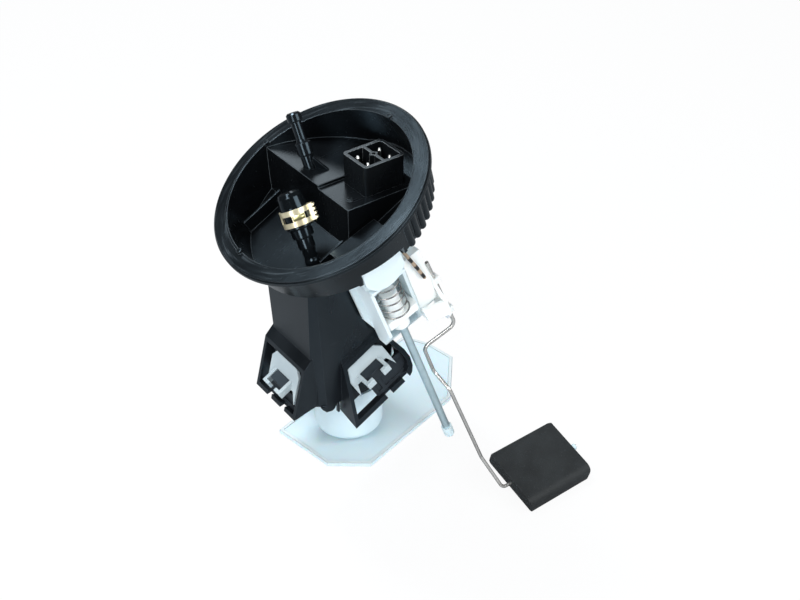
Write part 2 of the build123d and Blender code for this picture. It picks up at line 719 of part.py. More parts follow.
def lug_frame(front, down, outward):
    """A frame on the top of a lug where it passes the sloping front; Z is the flange's axis."""
    return Plane(origin=front.from_local_coords((0, -down, 0)), x_dir=outward, z_dir=FLANGE.z_dir)


LEFT_LUG = lug_frame(LEFT_FRONT, LUG_DOWN, -ALONG)
SIDE_LUG = lug_frame(SIDE_FRONT, SIDE_LUG_DOWN, Vector(0, -1, 0))


def housing_tower():
    """The tapered tower, cut off under the cup, with an ear frame on three of its sides."""
    below_floor = put(FLANGE, block(-150, 150, -150, 150, -400, -CUP_DEPTH))
    shell = tower_block() & below_floor
    right = side_ear(0, 0)
    shell += left_ear(0, 0)
    shell += right
    shell += mirror_rear(right)
    shell += put(SENDER, block(*PAD_X, BACK_Y, TOWER_Y0 + TOWER_WALL, *PAD_Z))
    shell -= tower_block(TOWER_WALL, 5.0)
    solid_core = tower_block(0, 5.0)
    pocket_left = left_ear(-EAR_WALL, EAR_SIDE_T) & left_ear_room()
    pocket_right = (side_ear(-EAR_WALL, EAR_SIDE_T) & side_ear_room()) - solid_core
    shell -= pocket_left - solid_core
    shell -= pocket_right
    shell -= mirror_rear(pocket_right)
    for frame in (LEFT_LUG, SIDE_LUG):
        door = put(frame, block(-LUG_IN, -2, -DOOR_W / 2, DOOR_W / 2, -DOOR_H, 4))
        shell -= door
        if frame is SIDE_LUG:
            shell -= mirror_rear(door)
    for at in NOTCH_AT:
        shell -= foot_notch(LEFT_FRONT, at, EAR_FRONT_L)
        notch = foot_notch(SIDE_FRONT, at + NOTCH_W * 1.8, SIDE_EAR_FRONT_L * ALONG.X)
        shell -= notch
        shell -= mirror_rear(notch)
    return shell + front_tongue()


def foot_notch(front, at, down):
    """A notch through the front half of an ear's foot."""
    x0, x1 = at - NOTCH_W / 2, at + NOTCH_W / 2
    return put(front, block(x0, x1, -down - EAR_WALL, -down + EAR_WALL + 1, -EAR_WALL, EAR_WALL))


def front_tongue():
    """The tongue and the thin tag that hang from the foot of the tower's front wall."""
    y = side_face_y(TOWER_BOTTOM_Z)
    x0, x1 = NOSE_X
    top, low = TOWER_BOTTOM_Z + 1, TOWER_BOTTOM_Z - NOSE_DROP
    third = (x1 - x0) / 3
    tongue = prism(
        [(x0 + 1, top), (x1, top), (x1, TOWER_BOTTOM_Z), (x1 - third / 2, low + 0.8), (x1 - third, low),
         (x0 + third, low + 0.8), (x0 + 1, TOWER_BOTTOM_Z)],
        Plane.XZ.offset(-y - TOWER_WALL), TOWER_WALL,
    )
    tag = block(TAG_X, TAG_X + TAG_W, y, y + TOWER_WALL, TOWER_BOTTOM_Z - TAG_DROP, top)
    return tongue + tag


def left_ear_room():
    """The left ear's pocket, which is open through its front and its underside."""
    return put(LEFT_FRONT, block(-60, 60, -EAR_FRONT_L + EAR_WALL, -EAR_WALL, -60, 20))


def side_ear_room():
    """The same for the -Y ear."""
    low = SIDE_EAR_FRONT_L * ALONG.X - EAR_WALL
    return put(SIDE_FRONT, block(-60, 60, -low, -EAR_WALL, -60, 20)) & side_ear_outline_room()


def side_ear_outline_room():
    """The front view of that pocket, thickened."""
    x1 = SIDE_EAR_X1 - EAR_SIDE_T
    top = SIDE_EAR_TOP
    outline = [
        (SIDE_EAR_X0 + EAR_SIDE_T, top + 5 - EAR_WALL), (SIDE_EAR_X0 + 26, top + 2 + 27 * RISE),
        (SIDE_EAR_X0 + 33, top + 3), (x1 - 4.5, top - 5.5), (x1 - 1.9, top - 10.5), (x1 - 1.3, top - 15.0),
        (x1 - 3.4, top - 18.8), (x1 - 13, top - 27), (SIDE_EAR_X0 + EAR_SIDE_T, top - SIDE_EAR_FRONT_L - 4),
    ]
    return extrude(Plane.XZ * make_face(Polyline(*outline, close=True)), RIM_R, both=True)


# ---------------------------------------------------------------- pump carrier and clips
LUG_TOP = -0.6


def lug(frame):
    """A carrier lug: a block out through the door."""
    return put(frame, block(-LUG_IN, LUG_OUT, -LUG_W / 2, LUG_W / 2, -LUG_T, LUG_TOP))


def apron(front, down, reach, low, room):
    """A barred plate below a lug, which closes the lower part of the ear's window.

    reach is how far it spans on each side of the lug, and low how far down the front it ends.
    """
    back = -CLIP_SET_IN - CLIP_T - FLOOR_GAP - APRON_T
    top = -down - LUG_T + 1.0
    neck, shoulder = top - APRON_NECK_L, top - 2 * APRON_NECK_L
    left, right = reach
    outline = [
        (-APRON_NECK / 2, top), (APRON_NECK / 2, top), (APRON_NECK / 2, neck), (right, shoulder),
        (right, -low), (-left, -low), (-left, shoulder), (-APRON_NECK / 2, neck),
    ]
    plate = prism(outline, front.offset(back), APRON_T)
    y0, y1 = -low + APRON_BAR, shoulder - APRON_BAR
    for x0, x1 in ((-left + APRON_BAR, -APRON_BAR / 2), (APRON_BAR / 2, right - APRON_BAR)):
        plate -= put(front, block(x0, x1, y0, y1, back + APRON_T / 2, back + APRON_T + 1))
    return plate & room


def pump_carrier():
    """The carrier ring round the pump, with a lug out through each of the tower's doors."""
    ring = at_pump(tube(CARRIER_R, CAN_R + SLIP, SLEEVE_TOP_Z, CARRIER_TOP_Z))
    left = lug(LEFT_LUG)
    left += put(LEFT_LUG, block(-LUG_IN - 12, -LUG_IN + 1, -LUG_W / 2, LUG_W / 2, -LUG_T, LUG_TOP))
    left += apron(
        LEFT_FRONT, LUG_DOWN, (APRON_SPAN, APRON_SPAN), EAR_FRONT_L - EAR_WALL - FLOOR_GAP,
        left_ear(0, EAR_SIDE_T + CLIP_GAP),
    )
    side = lug(SIDE_LUG) + apron(
        SIDE_FRONT, SIDE_LUG_DOWN, SIDE_APRON_SPAN, SIDE_EAR_FRONT_L * ALONG.X - EAR_WALL - FLOOR_GAP,
        side_ear_outline_room(),
    )
    whole = ring + left + side + mirror_rear(side)
    return whole - at_pump(rod(CAN_R + SLIP, SLEEVE_TOP_Z - 40, CARRIER_TOP_Z + 40))


def clip(front, frame, down, room):
    """A spring clip: a plate behind the ear's frame, two legs, and two hooked arms round the lug."""
    top, low = -CLIP_TOP, -down + CLIP_GAP
    shoulder = top - CLIP_SHOULDER_DROP
    leg = low - CLIP_LEG_L
    right = [
        (CLIP_HALF, top), (CLIP_SHOULDER, shoulder), (CLIP_SHOULDER, leg),
        (CLIP_SHOULDER - CLIP_LEG_W, low - CLIP_ARM_H),
    ]
    outline = [(-x, y) for x, y in reversed(right)] + right
    body = prism(outline, front.offset(-CLIP_SET_IN - CLIP_T), CLIP_T) & room
    hold = LUG_W / 2 + CLIP_GAP
    for side in (-1, 1):
        arm = block(-CLIP_SET_IN - CLIP_T, CLIP_ARM_OUT, hold, hold + CLIP_ARM_T, -CLIP_ARM_H, 0)
        arm += block(
            CLIP_ARM_OUT - CLIP_ARM_T, CLIP_ARM_OUT, hold - CLIP_HOOK, hold + CLIP_ARM_T, -CLIP_ARM_H, 0)
        if side < 0:
            arm = mirror(arm, Plane.XZ)
        body += put(frame, arm)
    body -= put(frame, block(
        -LUG_IN, LUG_OUT + CLIP_GAP, -hold, hold, -2 * LUG_T, LUG_TOP + CLIP_GAP))
    return body


def left_clip():
    return clip(LEFT_FRONT, LEFT_LUG, LUG_DOWN, left_ear(0, EAR_SIDE_T + CLIP_GAP))


def side_clip():
    return clip(SIDE_FRONT, SIDE_LUG, SIDE_LUG_DOWN, side_ear_outline_room())


# ---------------------------------------------------------------- pump internals
def at_pump(shape):
    return Pos(PUMP_X, PUMP_Y, 0) * shape


IMPELLER_TOP = CAN_BOTTOM_Z + 8.0
OUTLET_TOP = CAN_TOP_Z + OUTLET_H


def pump_sleeve():
    cup = turned([
        (CAN_R + SLIP, SLEEVE_TOP_Z), (SLEEVE_R, SLEEVE_TOP_Z), (SLEEVE_R, SLEEVE_BOTTOM_Z + SLEEVE_ROUND),
        (SLEEVE_R - SLEEVE_ROUND * 0.3, SLEEVE_BOTTOM_Z + SLEEVE_ROUND * 0.3),
        (SLEEVE_R - SLEEVE_ROUND, SLEEVE_BOTTOM_Z), (NECK_BORE, SLEEVE_BOTTOM_Z),
        (NECK_BORE, CAN_BOTTOM_Z), (CAN_R + SLIP, CAN_BOTTOM_Z),
    ])
    return at_pump(cup)


def pump_can():
    lip = CAN_R - CAN_WALL
    can = turned([
        (lip, CAN_BOTTOM_Z), (CAN_R, CAN_BOTTOM_Z), (CAN_R, CAN_TOP_Z - 1.0), (CAN_R - 1.0, CAN_TOP_Z),
        (lip - 2.0, CAN_TOP_Z), (lip - 2.0, CAN_TOP_Z - CAN_WALL), (lip, CAN_TOP_Z - CAN_WALL - 0.8),
    ])
    return at_pump(can)


def pump_end_cap():
    r = CAN_R - CAN_WALL - SLIP
    top = CAN_TOP_Z - CAN_WALL - 0.8
    lip = CAN_R - CAN_WALL - 2.0 - SLIP
    body = turned([
        (SHAFT_R + SLIP, top - END_CAP_H), (r, top - END_CAP_H), (r, top), (lip, top),
        (lip, CAN_TOP_Z + 1.2), (SHAFT_R + SLIP, CAN_TOP_Z + 1.2),
    ])
    body += rod(SHAFT_R + 1.5, CAN_TOP_Z - 1, CAN_TOP_Z + 1.2)
    spout = Pos(OUTLET_X - PUMP_X, 0, 0) * turned([
        (0, CAN_TOP_Z - 2), (OUTLET_R, CAN_TOP_Z - 2), (OUTLET_R, OUTLET_TOP), (0, OUTLET_TOP),
    ])
    body += spout
    body -= Pos(OUTLET_X - PUMP_X, 0, 0) * rod(OUTLET_BORE, CAN_TOP_Z - END_CAP_H + 2, OUTLET_TOP + 1)
    for side in (-1, 1):
        body -= Pos(7, side * 7, CAN_TOP_Z) * Box(TAB_W + SLIP, TAB_T + SLIP, 80)
    return at_pump(body)


def pump_tabs():
    return at_pump(Compound(children=[
        Pos(7, side * 7, CAN_TOP_Z + 1.2 + TAB_H / 2 - 6) * Box(TAB_W, TAB_T, TAB_H + 4)
        for side in (-1, 1)
    ]))


def check_valve():
    seat = CAN_TOP_Z - END_CAP_H + 2 + 0.4
    poppet = rod(POPPET_R, seat, seat + 1.6) + rod(1.0, seat, seat + 5.0)
    return Pos(OUTLET_X, PUMP_Y, 0) * poppet


def magnets():
    ring = tube(MAGNET_R, MAGNET_R - MAGNET_T, MAGNET_MID_Z - MAGNET_H / 2, MAGNET_MID_Z + MAGNET_H / 2)
    wedge = turned_sector(MAGNET_R + 1, MAGNET_ARC, MAGNET_H)
    arcs = [ring & (Rot(0, 0, turn) * wedge) for turn in (0, 180)]
    return at_pump(Compound(children=arcs))


def turned_sector(r, arc, height):
    face = Plane.XZ * Pos(r / 2, MAGNET_MID_Z) * Rectangle(r, height)
    return Rot(0, 0, -arc / 2) * revolve(face, Axis.Z, arc)


def armature():
    top, bottom = MAGNET_MID_Z + MAGNET_H / 2 - 3, MAGNET_MID_Z - MAGNET_H / 2 + 3
    core = rod(ARMATURE_R, bottom, top)
    slot = Pos(ARMATURE_R - ARMATURE_SLOT_D / 2 + 0.5, 0, MAGNET_MID_Z) * Box(
        ARMATURE_SLOT_D + 1, ARMATURE_SLOT_W, MAGNET_H)
    for i in range(ARMATURE_SLOTS):
        core -= Rot(0, 0, 360 * i / ARMATURE_SLOTS) * slot
    core += rod(COMMUTATOR_R, top - 0.5, top + COMMUTATOR_H)
    core += rod(SHAFT_R, IMPELLER_TOP - IMPELLER_T - 2.0, CAN_TOP_Z - 2.2)
    return at_pump(core)


def impeller():
    disc = tube(IMPELLER_R, SHAFT_R, IMPELLER_TOP - IMPELLER_T, IMPELLER_TOP)
    cut = Pos(IMPELLER_R, 0, IMPELLER_TOP - IMPELLER_T / 2) * Box(3.2, 1.6, IMPELLER_T + 1)
    for i in range(IMPELLER_BLADES):
        disc -= Rot(0, 0, 360 * i / IMPELLER_BLADES) * cut
    return at_pump(disc)


def pump_casing():
    """The fixed plates above and below the impeller, with the ring between them."""
    r = CAN_R - CAN_WALL - SLIP
    low = IMPELLER_TOP - IMPELLER_T - IMPELLER_PLAY
    high = IMPELLER_TOP + IMPELLER_PLAY
    body = turned([
        (SHAFT_R + SLIP, CAN_BOTTOM_Z), (r, CAN_BOTTOM_Z), (r, high + 3), (SHAFT_R + SLIP, high + 3),
        (SHAFT_R + SLIP, high), (IMPELLER_R + IMPELLER_PLAY, high), (IMPELLER_R + IMPELLER_PLAY, low),
        (SHAFT_R + SLIP, low),
    ])
    inlet = Pos(IMPELLER_R - 3, 0, 0) * rod(1.8, CAN_BOTTOM_Z - 1, low + 0.1)
    return at_pump(body - inlet)


# ---------------------------------------------------------------- inner hose
def hose_route():
    """From the supply nipple's tail down to the pump's outlet."""
    tail = TAIL.from_local_coords((0, 0, TAIL_FROM - SUPPLY_RISE - FLOOR_GAP))
    low = TAIL.from_local_coords((0, 0, -SUPPLY_TAIL - SUPPLY_RISE - 2.0))
    above = (OUTLET_X, PUMP_Y, OUTLET_TOP + 4.0)
    end = (OUTLET_X, PUMP_Y, CAN_TOP_Z + 5.0)
    return [tail, low, above, end]


def inner_hose():
    points = [Vector(*p) if not isinstance(p, Vector) else p for p in hose_route()]
    path = FilletPolyline(*points, radius=[9.0, 9.0])
    start = Plane(origin=path @ 0, z_dir=path % 0)
    outer = sweep(start * Circle(HOSE_R), path=path)
    whole = outer
    whole -= put(TAIL, rod(TAIL_R + SLIP, -SUPPLY_TAIL - SUPPLY_RISE - FLOOR_GAP, 0))
    whole -= Pos(OUTLET_X, PUMP_Y, 0) * rod(OUTLET_R + SLIP, CAN_TOP_Z, OUTLET_TOP + FLOOR_GAP)
    return whole


def hose_clips():
    ring = tube(HOSE_CLIP_R, HOSE_R + SLIP, 0, HOSE_CLIP_L)
    upper = put(TAIL, Pos(0, 0, -SUPPLY_TAIL - SUPPLY_RISE + 3) * ring)
    lower = Pos(OUTLET_X, PUMP_Y, CAN_TOP_Z + 6.0) * ring
    return Compound(children=[upper, lower])


# ---------------------------------------------------------------- strainer
STRAINER = Plane(
    origin=(PUMP_X, PUMP_Y, SHEET_Z),
    x_dir=(cos(radians(SHEET_TURN)), sin(radians(SHEET_TURN)), 0), z_dir=(0, 0, 1),
)
SHEET_OUTLINE = [
    (SHEET_U0, -15.0), (-20.5, SHEET_V0), (64.0, SHEET_V0), (99.5, -11.5), (SHEET_U1, 12.0),
    (96.0, SHEET_V1), (-35.0, SHEET_V1),
]


def strainer_mesh():
    face = make_face(Polyline(*SHEET_OUTLINE, close=True))
    sheet = extrude(Plane.XY * face, SHEET_T / 2, both=True)
    sheet -= rod(NECK_BORE, -SHEET_T, SHEET_T)
    return put(STRAINER, sheet)


def strainer_neck():
    low, high = SHEET_Z + SHEET_T / 2, SLEEVE_BOTTOM_Z
    neck = tube(NECK_R, NECK_BORE, low, high) + tube(NECK_R + 4, NECK_BORE, low, low + 1.6)
    return at_pump(neck)


# ---------------------------------------------------------------- level sender
def rod_axis(shape):
    return put(SENDER, Pos(POST_X, ROD_Y, 0) * shape)


def sender_bracket():
    """The channel that guides the plunger: back plate, side walls, hood and slotted foot."""
    back = prism(
        [(BLOCK_X0, BLOCK_TOP), (BLOCK_X1, BLOCK_TOP), (BLOCK_X1, BLOCK_BOTTOM),
         (BLOCK_X0 + HEEL_IN, BLOCK_BOTTOM), (BLOCK_X0, BLOCK_BOTTOM + HEEL_UP)],
        Plane.XZ.offset(-BACK_Y), BACK_T,
    )
    front = BACK_Y - BACK_T
    top = HOOD_BOTTOM + 1
    left = channel_wall(CHANNEL_X0, CHANNEL_FRONT_Y, top)
    right = channel_wall(CHANNEL_X1 - CHANNEL_WALL, CHANNEL_RIGHT_Y, top)
    foot = block(CHANNEL_X0, CHANNEL_X1, CHANNEL_FRONT_Y, front, BLOCK_BOTTOM, BLOCK_BOTTOM + FOOT_T)
    foot &= channel_side(CHANNEL_X0, CHANNEL_X1 - CHANNEL_X0, CHANNEL_FRONT_Y, top)
    foot -= Pos(POST_X, ROD_Y, 0) * rod(ROD_R + SLIP, BLOCK_BOTTOM - 1, BLOCK_BOTTOM + FOOT_T + 1)
    hood = block(HOOD_X0, HOOD_X1, CHANNEL_FRONT_Y, front, HOOD_BOTTOM, HOOD_TOP)
    hood += hood_visor()
    hood -= block(
        HOOD_X0 + HOOD_WALL, HOOD_X1 - HOOD_WALL, HOOD_FRONT_Y + HOOD_WALL, front - HOOD_WALL,
        SPRING_TOP - 1, HOOD_TOP - HOOD_WALL,
    )
    seat_low = SPRING_TOP + SPRING_WIRE_R + SPRING_GAP
    seat = block(HOOD_X0 + 1, HOOD_X1 - 1, HOOD_FRONT_Y + 1, front, seat_low, seat_low + SEAT_T)
    body = back + left + right + foot + hood + seat
    return put(SENDER, body)


def channel_side(x0, width, front_y, top):
    """The channel's side view, from x0 on: its front edge turns back towards the foot."""
    back = BACK_Y - BACK_T
    slant = (BLOCK_BOTTOM - CHANNEL_CUT_Z) / (CHANNEL_CUT_Y - CHANNEL_FRONT_Y)
    turn = CHANNEL_CUT_Z + (front_y - CHANNEL_FRONT_Y) * slant
    return prism(
        [(back, top), (front_y, top), (front_y, turn), (CHANNEL_CUT_Y, BLOCK_BOTTOM), (back, BLOCK_BOTTOM)],
        Plane.YZ.offset(x0), width,
    )


def channel_wall(x0, front_y, top):
    return channel_side(x0, CHANNEL_WALL, front_y, top)


def hood_visor():
    """The front of the hood, whose lower edge is a bow that falls towards the body."""
    low = SPRING_TOP + SPRING_WIRE_R + SPRING_GAP + FLOOR_GAP
    bow = ThreePointArc((HOOD_X0, HOOD_BOTTOM + 7), (0, low), (HOOD_X1, HOOD_BOTTOM + 3.5))
    sides = Polyline((HOOD_X1, HOOD_BOTTOM + 3.5), (HOOD_X1, HOOD_TOP), (HOOD_X0, HOOD_TOP), (HOOD_X0, HOOD_BOTTOM + 7))
    face = make_face(Plane.XZ.offset(-CHANNEL_FRONT_Y) * (bow + sides))
    return extrude(face, CHANNEL_FRONT_Y - HOOD_FRONT_Y, dir=(0, -1, 0))


def sender_body():
    """The closed half beside the channel, which holds the resistor plate."""
    x0, x1 = CHANNEL_X1, BLOCK_X1
    body = block(x0, x1, BODY_FRONT_Y, BACK_Y - BACK_T, BODY_BOTTOM, BODY_TOP)
    body -= block(
        x1 - POCKET_D, x1 + 1, BODY_FRONT_Y + BODY_SKIN, BACK_Y - BACK_T - BODY_SKIN,
        LEVER_AXIS_Z - POCKET_HALF, LEVER_AXIS_Z + POCKET_HALF,
    )
    body -= block(x0 + NOTCH_IN, x1 + 1, BODY_FRONT_Y - 1, BODY_FRONT_Y + NOTCH_D, BODY_BOTTOM - 1, BODY_BOTTOM + NOTCH_H)
    body -= put_pivot(rod(PIVOT_R + SLIP, -9.0, 3.0))
    return put(SENDER, body)


def put_pivot(shape):
    """Turn an upright shape on to the lever's axis, with 0 at the body's outer face."""
    return Pos(BLOCK_X1, LEVER_AXIS_Y, LEVER_AXIS_Z) * Rot(0, 90, 0) * shape


def sender_tab():
    back = BACK_Y - BACK_T - 1
    tab = block(CHANNEL_X1 + TAB_IN, BLOCK_X1 - TAB_IN, back - TAB_D, back, BODY_TOP, BODY_TOP + TAB_H)
    return put(SENDER, tab)


def resistor_plate():
    x1 = BLOCK_X1 - POCKET_D
    rim, half = BODY_SKIN + PLATE_PLAY, POCKET_HALF - PLATE_PLAY
    plate = block(
        x1, x1 + PLATE_T, BODY_FRONT_Y + rim, BACK_Y - BACK_T - rim, LEVER_AXIS_Z - half, LEVER_AXIS_Z + half,
    )
    plate -= put_pivot(rod(PIVOT_R + SLIP, -9.0, 3.0))
    return put(SENDER, plate)


def pivot_pin():
    head = LEVER_T + 0.2 + FLOOR_GAP
    pin = rod(PIVOT_R, -8.5, head) + rod(PIVOT_R + 1.2, head, head + 0.9)
    return put(SENDER, put_pivot(pin))


def lever():
    """The swinging plate on the pivot, with a wiper foot inside and two grips for the wire."""
    x0 = BLOCK_X1 + FLOOR_GAP
    x1 = x0 + LEVER_T
    y, z, front = LEVER_AXIS_Y, LEVER_AXIS_Z, LEVER_PLATE_Y
    top, low = LEVER_PLATE_TOP - LEVER_PLATE_FALL, LEVER_PLATE_TOP - LEVER_PLATE_FALL - LEVER_PLATE_H
    plate = prism(
        [(y - 5, z + 4), (y + 4, z + 4), (y + 4, z - 6), (y - 4, LEVER_END_Z), (y - 12, LEVER_END_Z),
         (front, low), (front, top), (y - 9, z - 8)],
        Plane.YZ.offset(x0), LEVER_T,
    )
    across = prism(
        [(LEVER_PLATE_X, LEVER_PLATE_TOP), (LEVER_PLATE_X + 1, LEVER_PLATE_TOP - LEVER_PLATE_H), (x1, low), (x1, top)],
        Plane.XZ.offset(-front - LEVER_T), LEVER_T,
    )
    hub = put_pivot(rod(LEVER_HUB_R, FLOOR_GAP, FLOOR_GAP + LEVER_T))
    body = plate + across + hub
    cover = WIRE_X_OUT + WIRE_R + GRIP_COVER
    for grip_z in GRIP_AT:
        grip_y = wire_y(grip_z)
        body += block(
            x0, cover, grip_y - GRIP_W / 2, grip_y + GRIP_W / 2, grip_z - GRIP_H / 2, grip_z + GRIP_H / 2,
        )
    body -= put_pivot(rod(PIVOT_R + SLIP, -2, 9))
    return put(SENDER, body) - arm_channel()


def wire_y(z):
    """The upper run of the wire leans outward: its Y at a height in the sender frame."""
    y0, z0 = WIRE_TOP
    y1, z1 = WIRE_ELBOW
    return y0 + (y1 - y0) * (z - z0) / (z1 - z0)


def arm_points():
    """The wire's route in the part's frame, from its top end to the float."""
    local = [
        (WIRE_X_OUT, *WIRE_TOP), (WIRE_X_OUT, *WIRE_ELBOW), (WIRE_X_IN, *WIRE_KNEE),
        (WIRE_X_IN, *WIRE_SHIN), (WIRE_X_IN, *WIRE_STEP), (WIRE_X_IN, *WIRE_HEEL),
    ]
    points = [SENDER.from_local_coords(p) for p in local]
    x, y, z = FLOAT_AT
    points.append(Vector(x - WIRE_LEAD_IN, y, z))
    points.append(Vector(x + FLOAT_L + WIRE_TAIL, y, z))
    return points


def wire_solid(r):
    path = FilletPolyline(*arm_points(), radius=WIRE_BENDS)
    start = Plane(origin=path @ 0, z_dir=path % 0)
    return sweep(start * Circle(r), path=path)


def arm_wire():
    return wire_solid(WIRE_R)


def arm_channel():
    """The round groove that the grips close on the wire's straight upper run."""
    a, b = arm_points()[:2]
    length = (b - a).length
    along = Plane(origin=a, z_dir=b - a)
    return put(along, rod(WIRE_R + SLIP, -10, length))


FLOAT_FRAME = Plane(
    origin=FLOAT_AT, x_dir=(1, 0, 0), z_dir=(0, -sin(radians(FLOAT_SLOPE)), cos(radians(FLOAT_SLOPE))),
)


def float_block():
    """The float, square to the wire's end, which runs through it."""
    outline = Rectangle(FLOAT_W, FLOAT_T)
    nose = (-FLOAT_W / 2, FLOAT_T / 2, 0)
    outline = chamfer(outline.vertices().sort_by_distance(nose)[1:], FLOAT_BEVEL)
    outline = fillet(outline.vertices().sort_by_distance(nose)[0], FLOAT_ROUND)
    plan = Pos(FLOAT_L / 2, 0) * RectangleRounded(FLOAT_L, FLOAT_W, FLOAT_CORNER)
    half = FLOAT_T / 2
    side = prism([(0, half), (FLOAT_SLANT, -half), (FLOAT_L, -half), (FLOAT_L, half)], Plane.XZ.offset(-FLOAT_W), 2 * FLOAT_W)
    body = extrude(Plane.YZ * outline, FLOAT_L) & extrude(plan, FLOAT_T, both=True) & side
    body -= Rot(0, 90, 0) * rod(WIRE_R + SLIP, -2, FLOAT_L + 2)
    return put(FLOAT_FRAME, body)


def float_retainer():
    z = FLOAT_L + FLOOR_GAP
    ring = tube(RETAINER_R, WIRE_R + SLIP, z, z + RETAINER_T) + tube(RETAINER_HUB_R, WIRE_R + SLIP, z, z + RETAINER_L)
    return put(FLOAT_FRAME, Rot(0, 90, 0) * ring)


def plunger_post():
    """The post in the spring, with the carriage that the spring stands on."""
    z = SPRING_BOTTOM - SPRING_WIRE_R - FLOOR_GAP
    play = CHANNEL_PLAY
    carriage = block(
        CHANNEL_X0 + CHANNEL_WALL + play, CHANNEL_X1 - CHANNEL_WALL - play,
        CHANNEL_FRONT_Y + play, BACK_Y - BACK_T - play, z - CARRIAGE_T, z,
    )
    carriage = chamfer(carriage.edges().filter_by(Axis.Z), CARRIAGE_EDGE)
    post = rod_axis(rod(POST_R, ROD_TOP, POST_TOP) - rod(ROD_R, ROD_TOP - 1, ROD_TOP + ROD_SEAT))
    return post + (put(SENDER, carriage) - rod_axis(rod(ROD_R, ROD_TOP - 1, ROD_TOP + ROD_SEAT)))


def guide_rod():
    return rod_axis(rod(ROD_R, ROD_BOTTOM, ROD_TOP + ROD_SEAT))


def rod_foot():
    ball = Pos(0, 0, ROD_BOTTOM) * Sphere(FOOT_R)
    foot = rod(FOOT_R, ROD_BOTTOM, ROD_BOTTOM + FOOT_L) + ball
    return rod_axis(foot - rod(ROD_R, ROD_BOTTOM, ROD_BOTTOM + FOOT_L + 1))


def plunger_spring():
    pitch = (SPRING_TOP - SPRING_BOTTOM) / SPRING_TURNS
    helix = Helix(pitch, SPRING_TOP - SPRING_BOTTOM, SPRING_R)
    start = Plane(origin=helix @ 0, z_dir=helix % 0)
    coil = sweep(start * Circle(SPRING_WIRE_R), path=helix)
    return rod_axis(Pos(0, 0, SPRING_BOTTOM) * coil)


def sender_lead():
    """The lead from the cup's underside to the sender's tab, over the body's top."""
    front = BODY_FRONT_Y - LEAD_R - FLOOR_GAP
    local = [
        (CHANNEL_X1 + 3.0, front + 8, BODY_TOP + 12.5), (CHANNEL_X1 + 4.0, front, BODY_TOP + 2),
        (CHANNEL_X1 + 6.5, front, BODY_TOP - 8), (CHANNEL_X1 + 9.2, front, BODY_TOP - 20.8),
    ]
    points = [SENDER.from_local_coords(p) for p in local]
    path = FilletPolyline(*points, radius=LEAD_BENDS)
    start = Plane(origin=path @ 0, z_dir=path % 0)
    return sweep(start * Circle(LEAD_R), path=path)


# ---------------------------------------------------------------- write the parts
NODES = {
    "flange_cup": flange_cup,
    "housing_tower": housing_tower,
    "supply_nipple": supply_nipple,
    "supply_cap": supply_cap,
    "hose_clamp": hose_clamp,
    "return_nipple": return_nipple,
    "connector_shell": connector_shell,
    "terminal_pins": terminal_pins,
    "pump_carrier": pump_carrier,
    "clip_left": left_clip,
    "clip_front": side_clip,
    "clip_rear": lambda: mirror_rear(side_clip()),
    "pump_sleeve": pump_sleeve,
    "pump_can": pump_can,
    "pump_end_cap": pump_end_cap,
    "pump_tabs": pump_tabs,
    "check_valve": check_valve,
    "magnets": magnets,
    "armature": armature,
    "impeller": impeller,
    "pump_casing": pump_casing,
    "inner_hose": inner_hose,
    "hose_clips": hose_clips,
    "strainer_neck": strainer_neck,
    "strainer_mesh": strainer_mesh,
    "sender_bracket": sender_bracket,
    "sender_body": sender_body,
    "sender_tab": sender_tab,
    "resistor_plate": resistor_plate,
    "pivot_pin": pivot_pin,
    "lever": lever,
    "arm_wire": arm_wire,
    "float_block": float_block,
    "float_retainer": float_retainer,
    "plunger_post": plunger_post,
    "guide_rod": guide_rod,
    "rod_foot": rod_foot,
    "plunger_spring": plunger_spring,
    "sender_lead": sender_lead,
}

for name, make in NODES.items():
    save(name, make())
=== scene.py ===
"""Fuel pump module: finishes, fine pieces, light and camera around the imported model.

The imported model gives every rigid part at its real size. This script dresses those parts in
moulded plastic, plated metal, rubber, foam and woven mesh, and makes the few pieces whose form
is finer than the model carries: the coil of the plunger spring, the heat-sealed border of the
strainer and the tongue that closes the hose clamp.
"""
import logging
import math
from dataclasses import dataclass, field
from enum import Enum
from typing import ClassVar, Union

import bmesh
import bpy
from mathutils import Matrix, Vector


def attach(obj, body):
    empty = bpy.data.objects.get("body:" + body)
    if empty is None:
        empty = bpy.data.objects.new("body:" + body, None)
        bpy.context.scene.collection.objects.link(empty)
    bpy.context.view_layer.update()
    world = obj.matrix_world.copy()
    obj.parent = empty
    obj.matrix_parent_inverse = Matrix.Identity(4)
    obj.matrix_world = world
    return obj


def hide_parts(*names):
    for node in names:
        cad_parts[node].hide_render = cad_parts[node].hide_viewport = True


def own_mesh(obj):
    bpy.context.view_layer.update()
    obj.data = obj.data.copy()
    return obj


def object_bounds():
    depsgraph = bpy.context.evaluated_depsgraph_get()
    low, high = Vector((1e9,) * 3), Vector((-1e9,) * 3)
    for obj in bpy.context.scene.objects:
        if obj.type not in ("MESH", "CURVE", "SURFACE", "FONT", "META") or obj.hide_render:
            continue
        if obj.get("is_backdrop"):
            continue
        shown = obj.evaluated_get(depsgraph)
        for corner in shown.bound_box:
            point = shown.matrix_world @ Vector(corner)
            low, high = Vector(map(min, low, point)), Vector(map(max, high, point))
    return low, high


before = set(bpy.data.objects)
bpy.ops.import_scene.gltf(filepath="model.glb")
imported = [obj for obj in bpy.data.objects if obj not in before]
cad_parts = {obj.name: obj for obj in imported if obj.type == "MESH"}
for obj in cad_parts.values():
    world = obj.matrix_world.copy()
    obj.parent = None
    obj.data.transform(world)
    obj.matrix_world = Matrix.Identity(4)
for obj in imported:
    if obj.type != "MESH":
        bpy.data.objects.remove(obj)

logging.basicConfig(level=logging.INFO, format="%(levelname)s %(message)s")
LOG = logging.getLogger("fuel_pump_module")

MM = 0.001
FULL_TURN = 2.0 * math.pi

